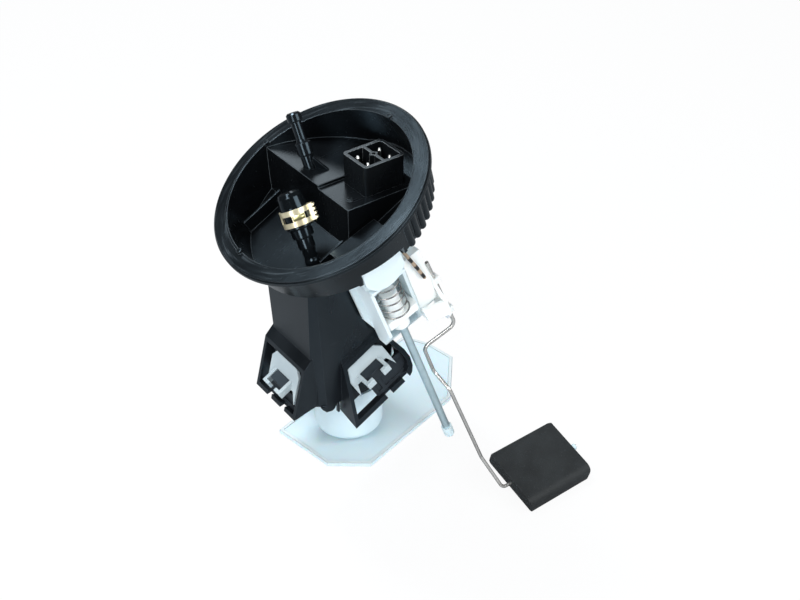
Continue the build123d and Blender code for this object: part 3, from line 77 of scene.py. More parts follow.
# A Triple is a place, a direction or factors along X, Y and Z; a Band is a low and a high value.
Triple = tuple[float, float, float]
Colour = Triple
Band = tuple[float, float]
WHITE: Colour = (1.0, 1.0, 1.0)

# The sender and its plunger lean over from the upright, and so does the cup's rim.
SENDER_LEAN = math.radians(20.0)
SENDER_UP = Vector((-math.sin(SENDER_LEAN), 0.0, math.cos(SENDER_LEAN)))
SENDER_ACROSS = Vector((math.cos(SENDER_LEAN), 0.0, math.sin(SENDER_LEAN)))
RIM_LEAN = math.radians(27.0)
RIM_UP: Triple = (-math.sin(RIM_LEAN), 0.0, math.cos(RIM_LEAN))

# Rays that each Bevel node casts to soften an edge, and how far the softened normal has left the
# true one, as 1 less their cosine, where a mask of edges starts and where it is full.
EDGE_SAMPLES = 4
EDGE_TURN: Band = (0.02, 0.22)


# ---------------------------------------------------------------- shader maths
@dataclass(frozen=True)
class Signal:
    """A shader socket that takes part in Python expressions.

    Each operator adds the Math node that works it out, so a mask or a height reads as a sum.
    """

    graph: "Graph"
    socket: bpy.types.NodeSocket

    def _math(self, operation: str, *values: Union["Signal", float]) -> "Signal":
        """Adds one Math node.

        Args:
            operation: The node's operation, such as ADD.
            values: The signals or numbers it works on, in order.

        Returns:
            The node's result.
        """
        return self.graph.add("ShaderNodeMath", {"operation": operation}, dict(enumerate(values)))

    def __add__(self, other: Union["Signal", float]) -> "Signal":
        """Sum of two signals."""
        return self._math("ADD", self, other)

    def __sub__(self, other: Union["Signal", float]) -> "Signal":
        """Difference of two signals."""
        return self._math("SUBTRACT", self, other)

    def __rsub__(self, other: float) -> "Signal":
        """A number less this signal."""
        return self._math("SUBTRACT", other, self)

    def __mul__(self, other: Union["Signal", float]) -> "Signal":
        """Product of two signals."""
        return self._math("MULTIPLY", self, other)

    def __pow__(self, power: float) -> "Signal":
        """This signal to a power."""
        return self._math("POWER", self, power)

    def swing(self, amount: float) -> "Signal":
        """How far this signal lies from its middle, a half, times an amount."""
        return (self - 0.5) * amount

    def mixed(self, other: "Signal", share: float) -> "Signal":
        """This signal with a share of another in it."""
        return self * (1.0 - share) + other * share

    def wave(self, length: float) -> "Signal":
        """A sine of this signal between 0 and 1, with a wave of the given length."""
        return self._math("SINE", self * (FULL_TURN / length)) * 0.5 + 0.5

    def larger(self, other: "Signal") -> "Signal":
        """The larger of two signals."""
        return self._math("MAXIMUM", self, other)

    def bearing(self, ahead: "Signal") -> "Signal":
        """Angle of a point from its two coordinates, this one sideways."""
        return self._math("ARCTAN2", self, ahead)

    def between(self, low: float, high: float) -> "Signal":
        """Smooth step from 0 at low to 1 at high.

        Args:
            low: Where the step leaves 0.
            high: Where it reaches 1.

        Returns:
            The step as a signal.
        """
        return self.graph.add(
            "ShaderNodeMapRange",
            {"interpolation_type": "SMOOTHSTEP", "clamp": True},
            {"Value": self, "From Min": low, "From Max": high},
        )


class Graph:
    """The node tree of one material or of the world."""

    def __init__(self, owner: Union[bpy.types.Material, bpy.types.World]) -> None:
        """Starts an empty tree.

        Args:
            owner: The material or world that holds it.
        """
        self.owner = owner
        owner.use_nodes = True
        self.tree = owner.node_tree
        self.tree.nodes.clear()

    @property
    def place(self) -> Signal:
        """The object's own coordinates."""
        return self.add("ShaderNodeTexCoord", take="Object")

    def add(
        self,
        kind: str,
        settings: Union[dict, None] = None,
        inputs: Union[dict, None] = None,
        take: Union[int, str] = 0,
    ) -> Signal:
        """Adds any node.

        Args:
            kind: The node's type.
            settings: Its properties, set before its sockets.
            inputs: Values or signals of its sockets, by name or number.
            take: The output that is returned, by name or number.

        Returns:
            That output as a signal.
        """
        node = self.tree.nodes.new(kind)
        for key, value in (settings or {}).items():
            setattr(node, key, value)
        for key, value in (inputs or {}).items():
            if isinstance(value, Signal):
                self.tree.links.new(value.socket, node.inputs[key])
            else:
                node.inputs[key].default_value = value
        return Signal(self, node.outputs[take])

    def noise(
        self,
        scale: float,
        detail: float = 3.0,
        stretch: Union[Triple, None] = None,
        place: Union[Signal, None] = None,
    ) -> Signal:
        """Noise in the object's own space, or in one that is given.

        Args:
            scale: Waves per metre.
            detail: Octaves.
            stretch: Factors by which the pattern is squeezed along X, Y and Z.
            place: Coordinates to use instead of the object's own.

        Returns:
            The noise's factor.
        """
        place = place or self.place
        if stretch:
            place = self.add("ShaderNodeMapping", inputs={"Vector": place, "Scale": stretch})
        sockets = {"Vector": place, "Scale": scale, "Detail": detail}
        return self.add("ShaderNodeTexNoise", inputs=sockets, take="Fac")

    def axis(self, letter: str) -> Signal:
        """Distance along one of the object's own axes, X, Y or Z, in metres."""
        return self.add("ShaderNodeSeparateXYZ", inputs={"Vector": self.place}, take=letter)

    def reach(self) -> Signal:
        """Distance from the object's upright axis, in metres."""
        x, y = self.axis("X"), self.axis("Y")
        return (x * x + y * y) ** 0.5

    def around(self, fine: float, coarse: float) -> Signal:
        """Streaks that run round the object's upright axis, as turning or wiping leaves them.

        Args:
            fine: Streaks per metre outwards.
            coarse: How quickly a streak changes on its way round.

        Returns:
            The streaks' factor.
        """
        turn = self.axis("Y").bearing(self.axis("X"))
        rolled = {"X": self.reach() * fine, "Y": turn * coarse}
        return self.noise(1.0, detail=4.0, place=self.add("ShaderNodeCombineXYZ", inputs=rolled))

    def facing(self, way: Union[Signal, Triple]) -> Signal:
        """How squarely a surface faces a direction, 1 where it faces it fully.

        Args:
            way: The direction, as a unit vector.

        Returns:
            The cosine of the angle between them.
        """
        true = self.add("ShaderNodeNewGeometry", take="Normal")
        product = {"operation": "DOT_PRODUCT"}
        return self.add("ShaderNodeVectorMath", product, {0: true, 1: way}, take="Value")

    def softened(self, radius: float) -> Signal:
        """The normal, turned gradually over every edge as a small rounding would."""
        return self.add("ShaderNodeBevel", {"samples": EDGE_SAMPLES}, {"Radius": radius})

    def edges(self, radius: float) -> Signal:
        """A mask that is 1 on sharp edges and corners and 0 on open faces.

        Args:
            radius: How far from an edge the mask reaches, in metres.

        Returns:
            The mask.
        """
        return (1.0 - self.facing(self.softened(radius))).between(*EDGE_TURN)

    def blend(
        self,
        share: Union[Signal, float],
        first: Union[Signal, Colour],
        second: Union[Signal, Colour],
    ) -> Signal:
        """Mixes two colours.

        Args:
            share: 0 for the first, 1 for the second.
            first: A colour or a signal.
            second: A colour or a signal.

        Returns:
            The mixed colour.
        """
        pair = [c if isinstance(c, Signal) else (*c, 1.0) for c in (first, second)]
        # A Mix node repeats its sockets for each data type: 6, 7 and 2 are those for colours.
        inputs = {0: share, 6: pair[0], 7: pair[1]}
        return self.add("ShaderNodeMix", {"data_type": "RGBA"}, inputs, take=2)

    def relief(self, height: Signal, strength: float, depth: float, edge: float) -> Signal:
        """Bump over softened edges.

        Args:
            height: The surface's height, 0 to 1.
            strength: Strength of the bump.
            depth: Height of 1, in metres.
            edge: Radius that sharp edges appear to have, in metres.

        Returns:
            The normal.
        """
        return self.add("ShaderNodeBump", inputs={
            "Height": height,
            "Strength": strength,
            "Distance": depth,
            "Normal": self.softened(edge),
        })

    def finish(self, sockets: dict) -> bpy.types.Material:
        """Ends the tree in one Principled shader.

        Args:
            sockets: Values or signals of the shader's sockets.

        Returns:
            The material.
        """
        self.end(self.add("ShaderNodeBsdfPrincipled", inputs=sockets))
        return self.owner

    def end(self, shader: Signal, output: str = "ShaderNodeOutputMaterial") -> None:
        """Joins a shader to the tree's output.

        Args:
            shader: The shader.
            output: The type of the output node.
        """
        out = self.tree.nodes.new(output)
        self.tree.links.new(shader.socket, out.inputs["Surface"])


# ---------------------------------------------------------------- finishes
# How a metal's lines run: along Z, as on drawn wire or tube, or in no direction.
DRAWN: Triple = (1.0, 1.0, 0.06)
UNDIRECTED: Triple = (1.0, 1.0, 1.0)


@dataclass(frozen=True)
class MouldedPlastic:
    """Dark engineering polymer, as it leaves a spark-eroded mould.

    The worn colour lies where the melt flowed and in hairline scuffs. A lighter colour is painted
    on edges as a painted highlight and, where the part is turned, in rings on what faces up along
    the rim's own lean: real wiping rings, shown in that highlight colour as a painted sheen.
    """

    name: str
    colour: Colour
    roughness: float
    worn: Colour = (0.045, 0.052, 0.060)
    grain: float = 2600.0
    grain_depth: float = 0.00006
    edge: float = 0.00045
    # Painted highlight: the lighter colour laid on edges and on the rim's up-facing rings.
    painted_highlight: Colour = (0.055, 0.066, 0.076)
    turned: float = 0.0

    FLOW_WAVES: ClassVar[float] = 28.0
    FLOW_STRETCH: ClassVar[Triple] = (1.0, 1.0, 0.35)
    FLOW_SHOWS: ClassVar[Band] = (0.35, 0.75)
    FLOW_SHARE: ClassVar[float] = 0.22
    FLOW_ROUGH: ClassVar[float] = 0.20
    SCUFF_WAVES: ClassVar[float] = 70.0
    SCUFF_STRETCH: ClassVar[Triple] = (1.0, 14.0, 3.0)
    SCUFF_SHOWS: ClassVar[Band] = (0.62, 0.80)
    SCUFF_SHARE: ClassVar[float] = 0.18
    SCUFF_ROUGH: ClassVar[float] = 0.10
    RINGS: ClassVar[float] = 650.0
    RING_DRIFT: ClassVar[float] = 2.5
    RING_SHOWS: ClassVar[Band] = (0.50, 0.82)
    RING_ROUGH: ClassVar[float] = 0.6
    FACES_UP: ClassVar[Band] = (0.85, 0.98)
    RIM_STARTS: ClassVar[Band] = (0.046, 0.052)
    # How far the painted edge highlight reaches, and how patchy it is.
    HIGHLIGHT_REACH: ClassVar[float] = 0.8
    HIGHLIGHT_SHOWS: ClassVar[Band] = (0.30, 0.60)
    HIGHLIGHT_LEAST: ClassVar[float] = 0.5
    COOL_GLOSS: ClassVar[tuple[float, ...]] = (0.62, 0.84, 1.0, 1.0)

    def build(self) -> bpy.types.Material:
        """Builds the material: flow marks, mould grain, hairline scuffs, and a painted highlight
        on edges and on the rim's top.

        Returns:
            The material.
        """
        g = Graph(bpy.data.materials.new(self.name))
        flow = g.noise(self.FLOW_WAVES, detail=4.0, stretch=self.FLOW_STRETCH)
        grain = g.noise(self.grain, detail=2.0)
        scratches = g.noise(self.SCUFF_WAVES, detail=6.0, stretch=self.SCUFF_STRETCH)
        scuffs = scratches.between(*self.SCUFF_SHOWS)
        aged = flow.between(*self.FLOW_SHOWS) * self.FLOW_SHARE + scuffs * self.SCUFF_SHARE
        colour = g.blend(aged, self.colour, self.worn)
        rings = g.around(self.RINGS, self.RING_DRIFT)
        # Painted sheen over real wiping rings: the rings take the highlight colour only on faces
        # that face up along the rim's lean.
        on_rim = g.facing(RIM_UP).between(*self.FACES_UP) * g.reach().between(*self.RIM_STARTS)
        rings_and_sheen = on_rim * self.turned
        colour = g.blend(rings.between(*self.RING_SHOWS) * rings_and_sheen, colour, self.painted_highlight)
        # Painted highlight on edges, in patches that follow the flow marks.
        patchy = flow.between(*self.HIGHLIGHT_SHOWS) * (1.0 - self.HIGHLIGHT_LEAST) + self.HIGHLIGHT_LEAST
        painted_highlight = g.edges(self.edge * self.HIGHLIGHT_REACH) * patchy
        rough = flow.swing(self.FLOW_ROUGH) + scuffs * self.SCUFF_ROUGH
        rough = rough + rings.swing(self.RING_ROUGH) * rings_and_sheen + self.roughness
        height = grain.mixed(scuffs, 0.2)
        return g.finish({
            "Base Color": g.blend(painted_highlight, colour, self.painted_highlight),
            "Roughness": rough,
            "Normal": g.relief(height, strength=0.35, depth=self.grain_depth, edge=self.edge),
            "IOR": 1.50,
            "Specular Tint": self.COOL_GLOSS,
        })


@dataclass(frozen=True)
class MilkyPlastic:
    """Natural acetal or nylon, which lets some light through."""

    name: str
    colour: Colour
    shade: Colour
    roughness: float
    depth: float = 0.35
    edge: float = 0.00040

    CLOUD_WAVES: ClassVar[float] = 45.0
    GRAIN_WAVES: ClassVar[float] = 1800.0
    SHADE_SHOWS: ClassVar[Band] = (0.30, 0.72)
    SHADE_SHARE: ClassVar[float] = 0.6

    def build(self) -> bpy.types.Material:
        """Builds the material: cloudy body, soft grain and light that spreads inside.

        Returns:
            The material.
        """
        g = Graph(bpy.data.materials.new(self.name))
        cloud = g.noise(self.CLOUD_WAVES)
        grain = g.noise(self.GRAIN_WAVES, detail=2.0)
        shaded = cloud.between(*self.SHADE_SHOWS) * self.SHADE_SHARE
        return g.finish({
            "Base Color": g.blend(shaded, self.colour, self.shade),
            "Roughness": cloud.swing(0.16) + self.roughness,
            "Normal": g.relief(grain, strength=0.25, depth=0.00005, edge=self.edge),
            "Subsurface Weight": self.depth,
            "Subsurface Radius": (0.9, 1.0, 1.1),
            "Subsurface Scale": 0.0016,
            "IOR": 1.48,
        })


@dataclass(frozen=True)
class PlatedMetal:
    """Plated or bare metal with the drawn or rolled lines of its making."""

    name: str
    colour: Colour
    stain: Colour
    roughness: float
    lines: Triple = DRAWN
    edge: float = 0.00015
    bare: float = 1.0
    # Painted shade: how much the colour darkens where the surface turns away from the camera.
    painted_edge_shade: float = 0.0

    STAIN_WAVES: ClassVar[float] = 120.0
    STAIN_SHOWS: ClassVar[Band] = (0.45, 0.80)
    STAIN_SHARE: ClassVar[float] = 0.7
    LINE_WAVES: ClassVar[float] = 2400.0
    TURNED_AWAY: ClassVar[Band] = (0.28, 0.78)
    DARKEST: ClassVar[float] = 0.12

    def build(self) -> bpy.types.Material:
        """Builds the material: fine lines, faint stains, and painted shade where the surface
        turns away from the camera.

        Returns:
            The material.
        """
        g = Graph(bpy.data.materials.new(self.name))
        stain = g.noise(self.STAIN_WAVES, detail=4.0)
        drawn = g.noise(self.LINE_WAVES, detail=2.0, stretch=self.lines)
        stained = stain.between(*self.STAIN_SHOWS) * self.STAIN_SHARE
        plating = g.blend(stained, self.colour, self.stain)
        # Painted shade at grazing angles, standing in for the dark edges of a wire's or rod's
        # reflection.
        away = g.add("ShaderNodeLayerWeight", inputs={"Blend": 0.5}, take="Facing")
        edge_shade_share = away.between(*self.TURNED_AWAY) * self.painted_edge_shade
        return g.finish({
            "Base Color": g.blend(edge_shade_share, plating, tuple(c * self.DARKEST for c in self.stain)),
            "Metallic": self.bare,
            "Roughness": drawn.swing(0.16) + stain.swing(0.14) + self.roughness,
            "Normal": g.relief(drawn, strength=0.10, depth=0.00003, edge=self.edge),
        })


@dataclass(frozen=True)
class StrainerCloth:
    """Fine polymer mesh, heat-sealed round its border."""

    name: str
    thread: Colour
    gap: Colour
    pitch: float = 0.0009

    CLOUD_WAVES: ClassVar[float] = 26.0

    def build(self) -> bpy.types.Material:
        """Builds the material: crossed threads in the plane of the panel.

        Returns:
            The material.
        """
        g = Graph(bpy.data.materials.new(self.name))
        thread = g.axis("X").wave(self.pitch).larger(g.axis("Y").wave(self.pitch))
        cloud = g.noise(self.CLOUD_WAVES)
        height = thread.mixed(cloud, 0.2)
        return g.finish({
            "Base Color": g.blend(thread.mixed(cloud, 0.45), self.gap, self.thread),
            "Roughness": cloud.swing(0.2) + 0.55,
            "Normal": g.relief(height, strength=0.30, depth=0.00012, edge=0.0003),
            "Subsurface Weight": 0.25,
            "Subsurface Scale": 0.0015,
            "Sheen Weight": 0.15,
        })


@dataclass(frozen=True)
class ClosedFoam:
    """Dense nitrile foam of a float, cut to size."""

    name: str
    colour: Colour
    fleck: Colour

    CELLS: ClassVar[float] = 1500.0
    CLOUD_WAVES: ClassVar[float] = 60.0
    CLOUD_SHOWS: ClassVar[Band] = (0.30, 0.75)
    CLOUD_SHARE: ClassVar[float] = 0.18
    FLECK_WAVES: ClassVar[float] = 700.0
    FLECK_SHOWS: ClassVar[Band] = (0.60, 0.75)
    FLECK_SHARE: ClassVar[float] = 0.30
    SAW_WAVES: ClassVar[float] = 420.0
    SAW_STRETCH: ClassVar[Triple] = (0.25, 2.4, 1.0)

    def build(self) -> bpy.types.Material:
        """Builds the material: cut cells, saw lines and pale flecks.

        Returns:
            The material.
        """
        g = Graph(bpy.data.materials.new(self.name))
        sockets = {"Vector": g.place, "Scale": self.CELLS}
        cells = g.add("ShaderNodeTexVoronoi", inputs=sockets, take="Distance")
        cloud = g.noise(self.CLOUD_WAVES, detail=5.0)
        flecks = g.noise(self.FLECK_WAVES).between(*self.FLECK_SHOWS)
        saw = g.noise(self.SAW_WAVES, detail=2.0, stretch=self.SAW_STRETCH)
        pale = cloud.between(*self.CLOUD_SHOWS) * self.CLOUD_SHARE + flecks * self.FLECK_SHARE
        height = cells * 0.5 + saw * 0.35 + cloud * 0.15
        return g.finish({
            "Base Color": g.blend(pale, self.colour, self.fleck),
            "Roughness": cloud.swing(0.2) + cells * 0.1 + 0.56,
            "Normal": g.relief(height, strength=0.55, depth=0.00022, edge=0.0005),
        })


@dataclass(frozen=True)
class HoseRubber:
    """Moulded hose rubber with a dusty bloom."""

    name: str
    colour: Colour
    bloom: Colour

    BLOOM_WAVES: ClassVar[float] = 80.0
    BLOOM_SHOWS: ClassVar[Band] = (0.42, 0.78)
    BLOOM_SHARE: ClassVar[float] = 0.4
    GRAIN_WAVES: ClassVar[float] = 1900.0

    def build(self) -> bpy.types.Material:
        """Builds the material: even grain and patches of bloom.

        Returns:
            The material.
        """
        g = Graph(bpy.data.materials.new(self.name))
        bloom = g.noise(self.BLOOM_WAVES, detail=4.0).between(*self.BLOOM_SHOWS)
        grain = g.noise(self.GRAIN_WAVES)
        return g.finish({
            "Base Color": g.blend(bloom * self.BLOOM_SHARE, self.colour, self.bloom),
            "Roughness": bloom * 0.14 + 0.46,
            "Normal": g.relief(grain, strength=0.4, depth=0.00006, edge=0.0003),
        })


@dataclass(frozen=True)
class TwinLead:
    """Two thin insulated wires, one pale and one dark, laid round each other."""

    name: str
    pale: Colour
    dark: Colour
    lay: float = 0.0115

    SLANT: ClassVar[float] = 0.9
    SEAM: ClassVar[Band] = (0.375, 0.625)
    GRAIN_WAVES: ClassVar[float] = 1600.0

    def build(self) -> bpy.types.Material:
        """Builds the material: slanting bands of the two insulations.

        Returns:
            The material.
        """
        g = Graph(bpy.data.materials.new(self.name))
        run = g.axis("Z") - g.axis("X") * self.SLANT
        bands = run.wave(self.lay).between(*self.SEAM)
        grain = g.noise(self.GRAIN_WAVES, detail=2.0)
        height = bands.mixed(grain, 0.2)
        return g.finish({
            "Base Color": g.blend(bands, self.pale, self.dark),
            "Roughness": grain * 0.12 + 0.34,
            "Normal": g.relief(height, strength=0.5, depth=0.00016, edge=0.0003),
        })


class Finish(Enum):
    """Every finish on the module, by what it stands for."""

    BLACK_POLYMER = MouldedPlastic("black_polymer", (0.0060, 0.0074, 0.0094), 0.30)
    # The cup's light edge and rim colour is a painted highlight and sheen.
    CUP_BLACK = MouldedPlastic(
        "cup_black_polymer", (0.0028, 0.0033, 0.0040), 0.24, worn=(0.016, 0.019, 0.022),
        grain_depth=0.00005, edge=0.0010, painted_highlight=(0.130, 0.155, 0.172), turned=0.30,
    )
    # The shell's pale edge colour is a painted highlight along its edges.
    SHELL_BLACK = MouldedPlastic(
        "shell_black_polymer", (0.0030, 0.0035, 0.0041), 0.26, worn=(0.018, 0.021, 0.024),
        grain_depth=0.00005, edge=0.0005, painted_highlight=(0.42, 0.46, 0.48),
    )
    GLOSS_BLACK = MouldedPlastic(
        "gloss_black_polymer", (0.003, 0.004, 0.005), 0.13, worn=(0.02, 0.023, 0.027),
        grain=1400.0, grain_depth=0.00002, edge=0.0006,
    )
    DARK_GREY = MouldedPlastic(
        "dark_grey_polymer", (0.018, 0.021, 0.026), 0.42, worn=(0.07, 0.078, 0.088)
    )
    FERRITE = MouldedPlastic(
        "sintered_ferrite", (0.03, 0.03, 0.032), 0.55, worn=(0.07, 0.07, 0.07)
    )
    CERAMIC = MouldedPlastic(
        "resistor_card", (0.23, 0.20, 0.16), 0.45, worn=(0.32, 0.30, 0.26)
    )
    WHITE_ACETAL = MilkyPlastic(
        "white_acetal", (0.76, 0.86, 0.90), (0.68, 0.80, 0.85), 0.38
    )
    # Painted light: a lighter copy of the white plastic, for the sender body's brightly lit
    # front.
    BODY_ACETAL_LIT = MilkyPlastic(
        "body_acetal_painted_light", (0.91, 0.95, 0.94), (0.86, 0.93, 0.92), 0.34, depth=0.45
    )
    # Painted shade: a darker copy of the white plastic, as the clips lie in the tower's shadow.
    CLIP_NYLON_SHADED = MilkyPlastic(
        "clip_nylon_painted_shade", (0.50, 0.58, 0.61), (0.36, 0.44, 0.49), 0.36, depth=0.30
    )
    CLEAR_NYLON = MilkyPlastic(
        "clear_nylon", (0.68, 0.82, 0.88), (0.60, 0.75, 0.82), 0.30, depth=0.5
    )
    STRAINER = StrainerCloth("strainer_cloth", (0.70, 0.83, 0.88), (0.58, 0.73, 0.80))
    STRAINER_HEM = MilkyPlastic(
        "strainer_hem", (0.74, 0.85, 0.89), (0.66, 0.79, 0.84), 0.34, depth=0.4
    )
    BRASS = PlatedMetal(
        "yellow_zinc", (0.95, 0.87, 0.62), (0.80, 0.68, 0.40), 0.34,
        lines=UNDIRECTED, edge=0.0002, bare=0.72,
    )
    BRASS_DEEP = PlatedMetal(
        "tongue_zinc", (0.84, 0.78, 0.40), (0.62, 0.56, 0.22), 0.32,
        lines=UNDIRECTED, edge=0.0002, bare=0.85,
    )
    TIN = PlatedMetal("tin_plate", (0.82, 0.82, 0.80), (0.62, 0.60, 0.58), 0.26)
    ZINC = PlatedMetal(
        "blue_zinc", (0.74, 0.93, 1.0), (0.54, 0.74, 0.82), 0.32, bare=0.72, painted_edge_shade=0.55
    )
    SPRING_STEEL = PlatedMetal(
        "spring_steel", (0.44, 0.43, 0.42), (0.26, 0.25, 0.24), 0.26, bare=0.85, painted_edge_shade=0.85
    )
    ARM_STEEL = PlatedMetal(
        "arm_steel", (0.86, 0.84, 0.81), (0.60, 0.57, 0.54), 0.24, bare=0.80, painted_edge_shade=0.90
    )
    CAST = PlatedMetal(
        "cast_aluminium", (0.72, 0.73, 0.74), (0.50, 0.51, 0.52), 0.42, lines=UNDIRECTED
    )
    WINDINGS = PlatedMetal("laminated_core", (0.42, 0.26, 0.17), (0.30, 0.22, 0.18), 0.38)
    TWIN_LEAD = TwinLead("twin_lead", (0.42, 0.31, 0.22), (0.012, 0.012, 0.013))
    RUBBER = HoseRubber("hose_rubber", (0.010, 0.011, 0.012), (0.040, 0.044, 0.048))
    FOAM = ClosedFoam("float_foam", (0.0105, 0.0130, 0.0145), (0.050, 0.060, 0.065))


FINISH_OF_NODE: dict[str, Finish] = {
    "flange_cup": Finish.CUP_BLACK,
    "housing_tower": Finish.BLACK_POLYMER,
    "supply_nipple": Finish.GLOSS_BLACK,
    "supply_cap": Finish.GLOSS_BLACK,
    "return_nipple": Finish.GLOSS_BLACK,
    "connector_shell": Finish.SHELL_BLACK,
    "hose_clamp": Finish.BRASS,
    "terminal_pins": Finish.TIN,
    "pump_carrier": Finish.DARK_GREY,
    "clip_left": Finish.CLIP_NYLON_SHADED,
    "clip_front": Finish.CLIP_NYLON_SHADED,
    "clip_rear": Finish.CLIP_NYLON_SHADED,
    "pump_sleeve": Finish.CLEAR_NYLON,
    "pump_can": Finish.ZINC,
    "pump_end_cap": Finish.DARK_GREY,
    "pump_tabs": Finish.TIN,
    "check_valve": Finish.BRASS,
    "magnets": Finish.FERRITE,
    "armature": Finish.WINDINGS,
    "impeller": Finish.DARK_GREY,
    "pump_casing": Finish.CAST,
    "inner_hose": Finish.RUBBER,
    "hose_clips": Finish.SPRING_STEEL,
    "strainer_neck": Finish.WHITE_ACETAL,
    "strainer_mesh": Finish.STRAINER,
    "sender_bracket": Finish.WHITE_ACETAL,
    "sender_body": Finish.BODY_ACETAL_LIT,
    "sender_tab": Finish.CLEAR_NYLON,
    "resistor_plate": Finish.CERAMIC,
    "pivot_pin": Finish.SPRING_STEEL,
    "lever": Finish.BODY_ACETAL_LIT,
    "arm_wire": Finish.ARM_STEEL,
    "float_block": Finish.FOAM,
    "float_retainer": Finish.CLEAR_NYLON,
    "plunger_post": Finish.BODY_ACETAL_LIT,
    "guide_rod": Finish.ZINC,
    "rod_foot": Finish.CLEAR_NYLON,
    "plunger_spring": Finish.SPRING_STEEL,
    "sender_lead": Finish.TWIN_LEAD,
}


class Wardrobe:
    """Builds each finish once and hands it out."""

    def __init__(self) -> None:
        """Starts with no material built."""
        self._built: dict[Finish, bpy.types.Material] = {}

    def get(self, finish: Finish) -> bpy.types.Material:
        """The material of a finish, built when first asked for.

        Args:
            finish: The finish.

        Returns:
            Its material.
        """
        if finish not in self._built:
            self._built[finish] = finish.value.build()
        return self._built[finish]

    def dress_nodes(self) -> None:
        """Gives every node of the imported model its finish."""
        for name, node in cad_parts.items():
            material = self.get(FINISH_OF_NODE[name])
            if not node.data.materials:
                node.data.materials.append(material)
            for index in range(len(node.data.materials)):
                node.data.materials[index] = material
            LOG.info("dressed %s in %s", name, material.name)


# ---------------------------------------------------------------- placing
def add_object(name: str, data: bpy.types.ID) -> bpy.types.Object:
    """Makes an object and adds it to the scene.

    Args:
        name: Its name.
        data: Its mesh, light or camera.

    Returns:
        The object.
    """
    made = bpy.data.objects.new(name, data)
    bpy.context.scene.collection.objects.link(made)
    return made


def object_from(
    work: bmesh.types.BMesh, name: str, material: bpy.types.Material
) -> bpy.types.Object:
    """Turns a mesh in the making into an object, with its faces outwards.

    Args:
        work: The mesh, which is freed.
        name: The object's name.
        material: Its material.

    Returns:
        The object.
    """
    bmesh.ops.recalc_face_normals(work, faces=work.faces)
    mesh = bpy.data.meshes.new(name)
    work.to_mesh(mesh)
    work.free()
    mesh.materials.append(material)
    return add_object(name, mesh)


def standing(foot: Vector, up: Vector, across: Vector) -> Matrix:
    """Where a piece stands whose own Z runs upwards from its foot.

    Args:
        foot: Its origin.
        up: Direction of its Z.
        across: Direction of its X, square to that.

    Returns:
        The matrix that puts it there.
    """
    turned = Matrix((across, up.cross(across), up)).transposed()
    return Matrix.Translation(foot) @ turned.to_4x4()


def look_at(piece: bpy.types.Object, way: Vector) -> None:
    """Turns a lamp or a camera so that it looks along a direction."""
    piece.rotation_mode = "QUATERNION"
    piece.rotation_quaternion = way.to_track_quat("-Z", "Y")


def settle(
    piece: bpy.types.Object, place: Matrix, body: str, smooth: bool = True
) -> bpy.types.Object:
    """Puts a finished piece in its place on its body.

    Args:
        piece: The object, whose mesh is about its own origin.
        place: Where that origin and its axes lie in the shared frame.
        body: The body it rides on.
        smooth: Whether its faces are shaded smooth.

    Returns:
        The piece, with its place in its mesh.
    """
    piece.data.transform(place)
    for polygon in piece.data.polygons:
        polygon.use_smooth = smooth
    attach(piece, body)
    LOG.info("made %s on %s, %d faces", piece.name, body, len(piece.data.polygons))
    return piece


# ---------------------------------------------------------------- geometry trees
class GeometryTree:
    """A Geometry Nodes tree that ends in Realize Instances and Set Material."""

    def __init__(self, name: str, sizes: dict[str, float]) -> None:
        """Starts the tree.

        Args:
            name: The tree's name.
            sizes: Its named inputs and their values, in metres or plain numbers.
        """
        self.tree = bpy.data.node_groups.new(name, "GeometryNodeTree")
        self.sizes = sizes
        for key, value in sizes.items():
            kind = "NodeSocketInt" if isinstance(value, int) else "NodeSocketFloat"
            self.tree.interface.new_socket(key, in_out="INPUT", socket_type=kind)
        self.tree.interface.new_socket(
            "Geometry", in_out="OUTPUT", socket_type="NodeSocketGeometry"
        )
        self.group_in = self.tree.nodes.new("NodeGroupInput")

    def size(self, name: str) -> bpy.types.NodeSocket:
        """The socket of a named size."""
        return self.group_in.outputs[name]

    def add(self, kind: str, inputs: dict) -> bpy.types.Node:
        """Adds a node.

        Args:
            kind: The node's type.
            inputs: Values or sockets of its inputs, by name or number.

        Returns:
            The node.
        """
        node = self.tree.nodes.new(kind)
        for key, value in inputs.items():
            if isinstance(value, bpy.types.NodeSocket):
                self.tree.links.new(value, node.inputs[key])
            else:
                node.inputs[key].default_value = value
        return node

    def make(
        self,
        name: str,
        geometry: bpy.types.NodeSocket,
        material: bpy.types.Material,
    ) -> bpy.types.Object:
        """Evaluates the tree into a plain mesh.

        Args:
            name: Name of the finished object.
            geometry: The socket that holds the shape.
            material: Its material.

        Returns:
            An object at the origin whose mesh is the result.
        """
        real = self.add("GeometryNodeRealizeInstances", inputs={0: geometry})
        dressed = self.add("GeometryNodeSetMaterial", inputs={
            "Geometry": real.outputs[0], "Material": material,
        })
        out = self.tree.nodes.new("NodeGroupOutput")
        self.tree.links.new(dressed.outputs[0], out.inputs[0])
        seed = add_object(name + "_seed", bpy.data.meshes.new(name + "_seed"))
        modifier = seed.modifiers.new("tree", "NODES")
        modifier.node_group = self.tree
        for item in self.tree.interface.items_tree:
            if item.in_out == "INPUT":
                modifier[item.identifier] = self.sizes[item.name]
        graph = bpy.context.evaluated_depsgraph_get()
        mesh = bpy.data.meshes.new_from_object(seed.evaluated_get(graph))
        mesh.name = name
        bpy.data.objects.remove(seed)
        return add_object(name, mesh)


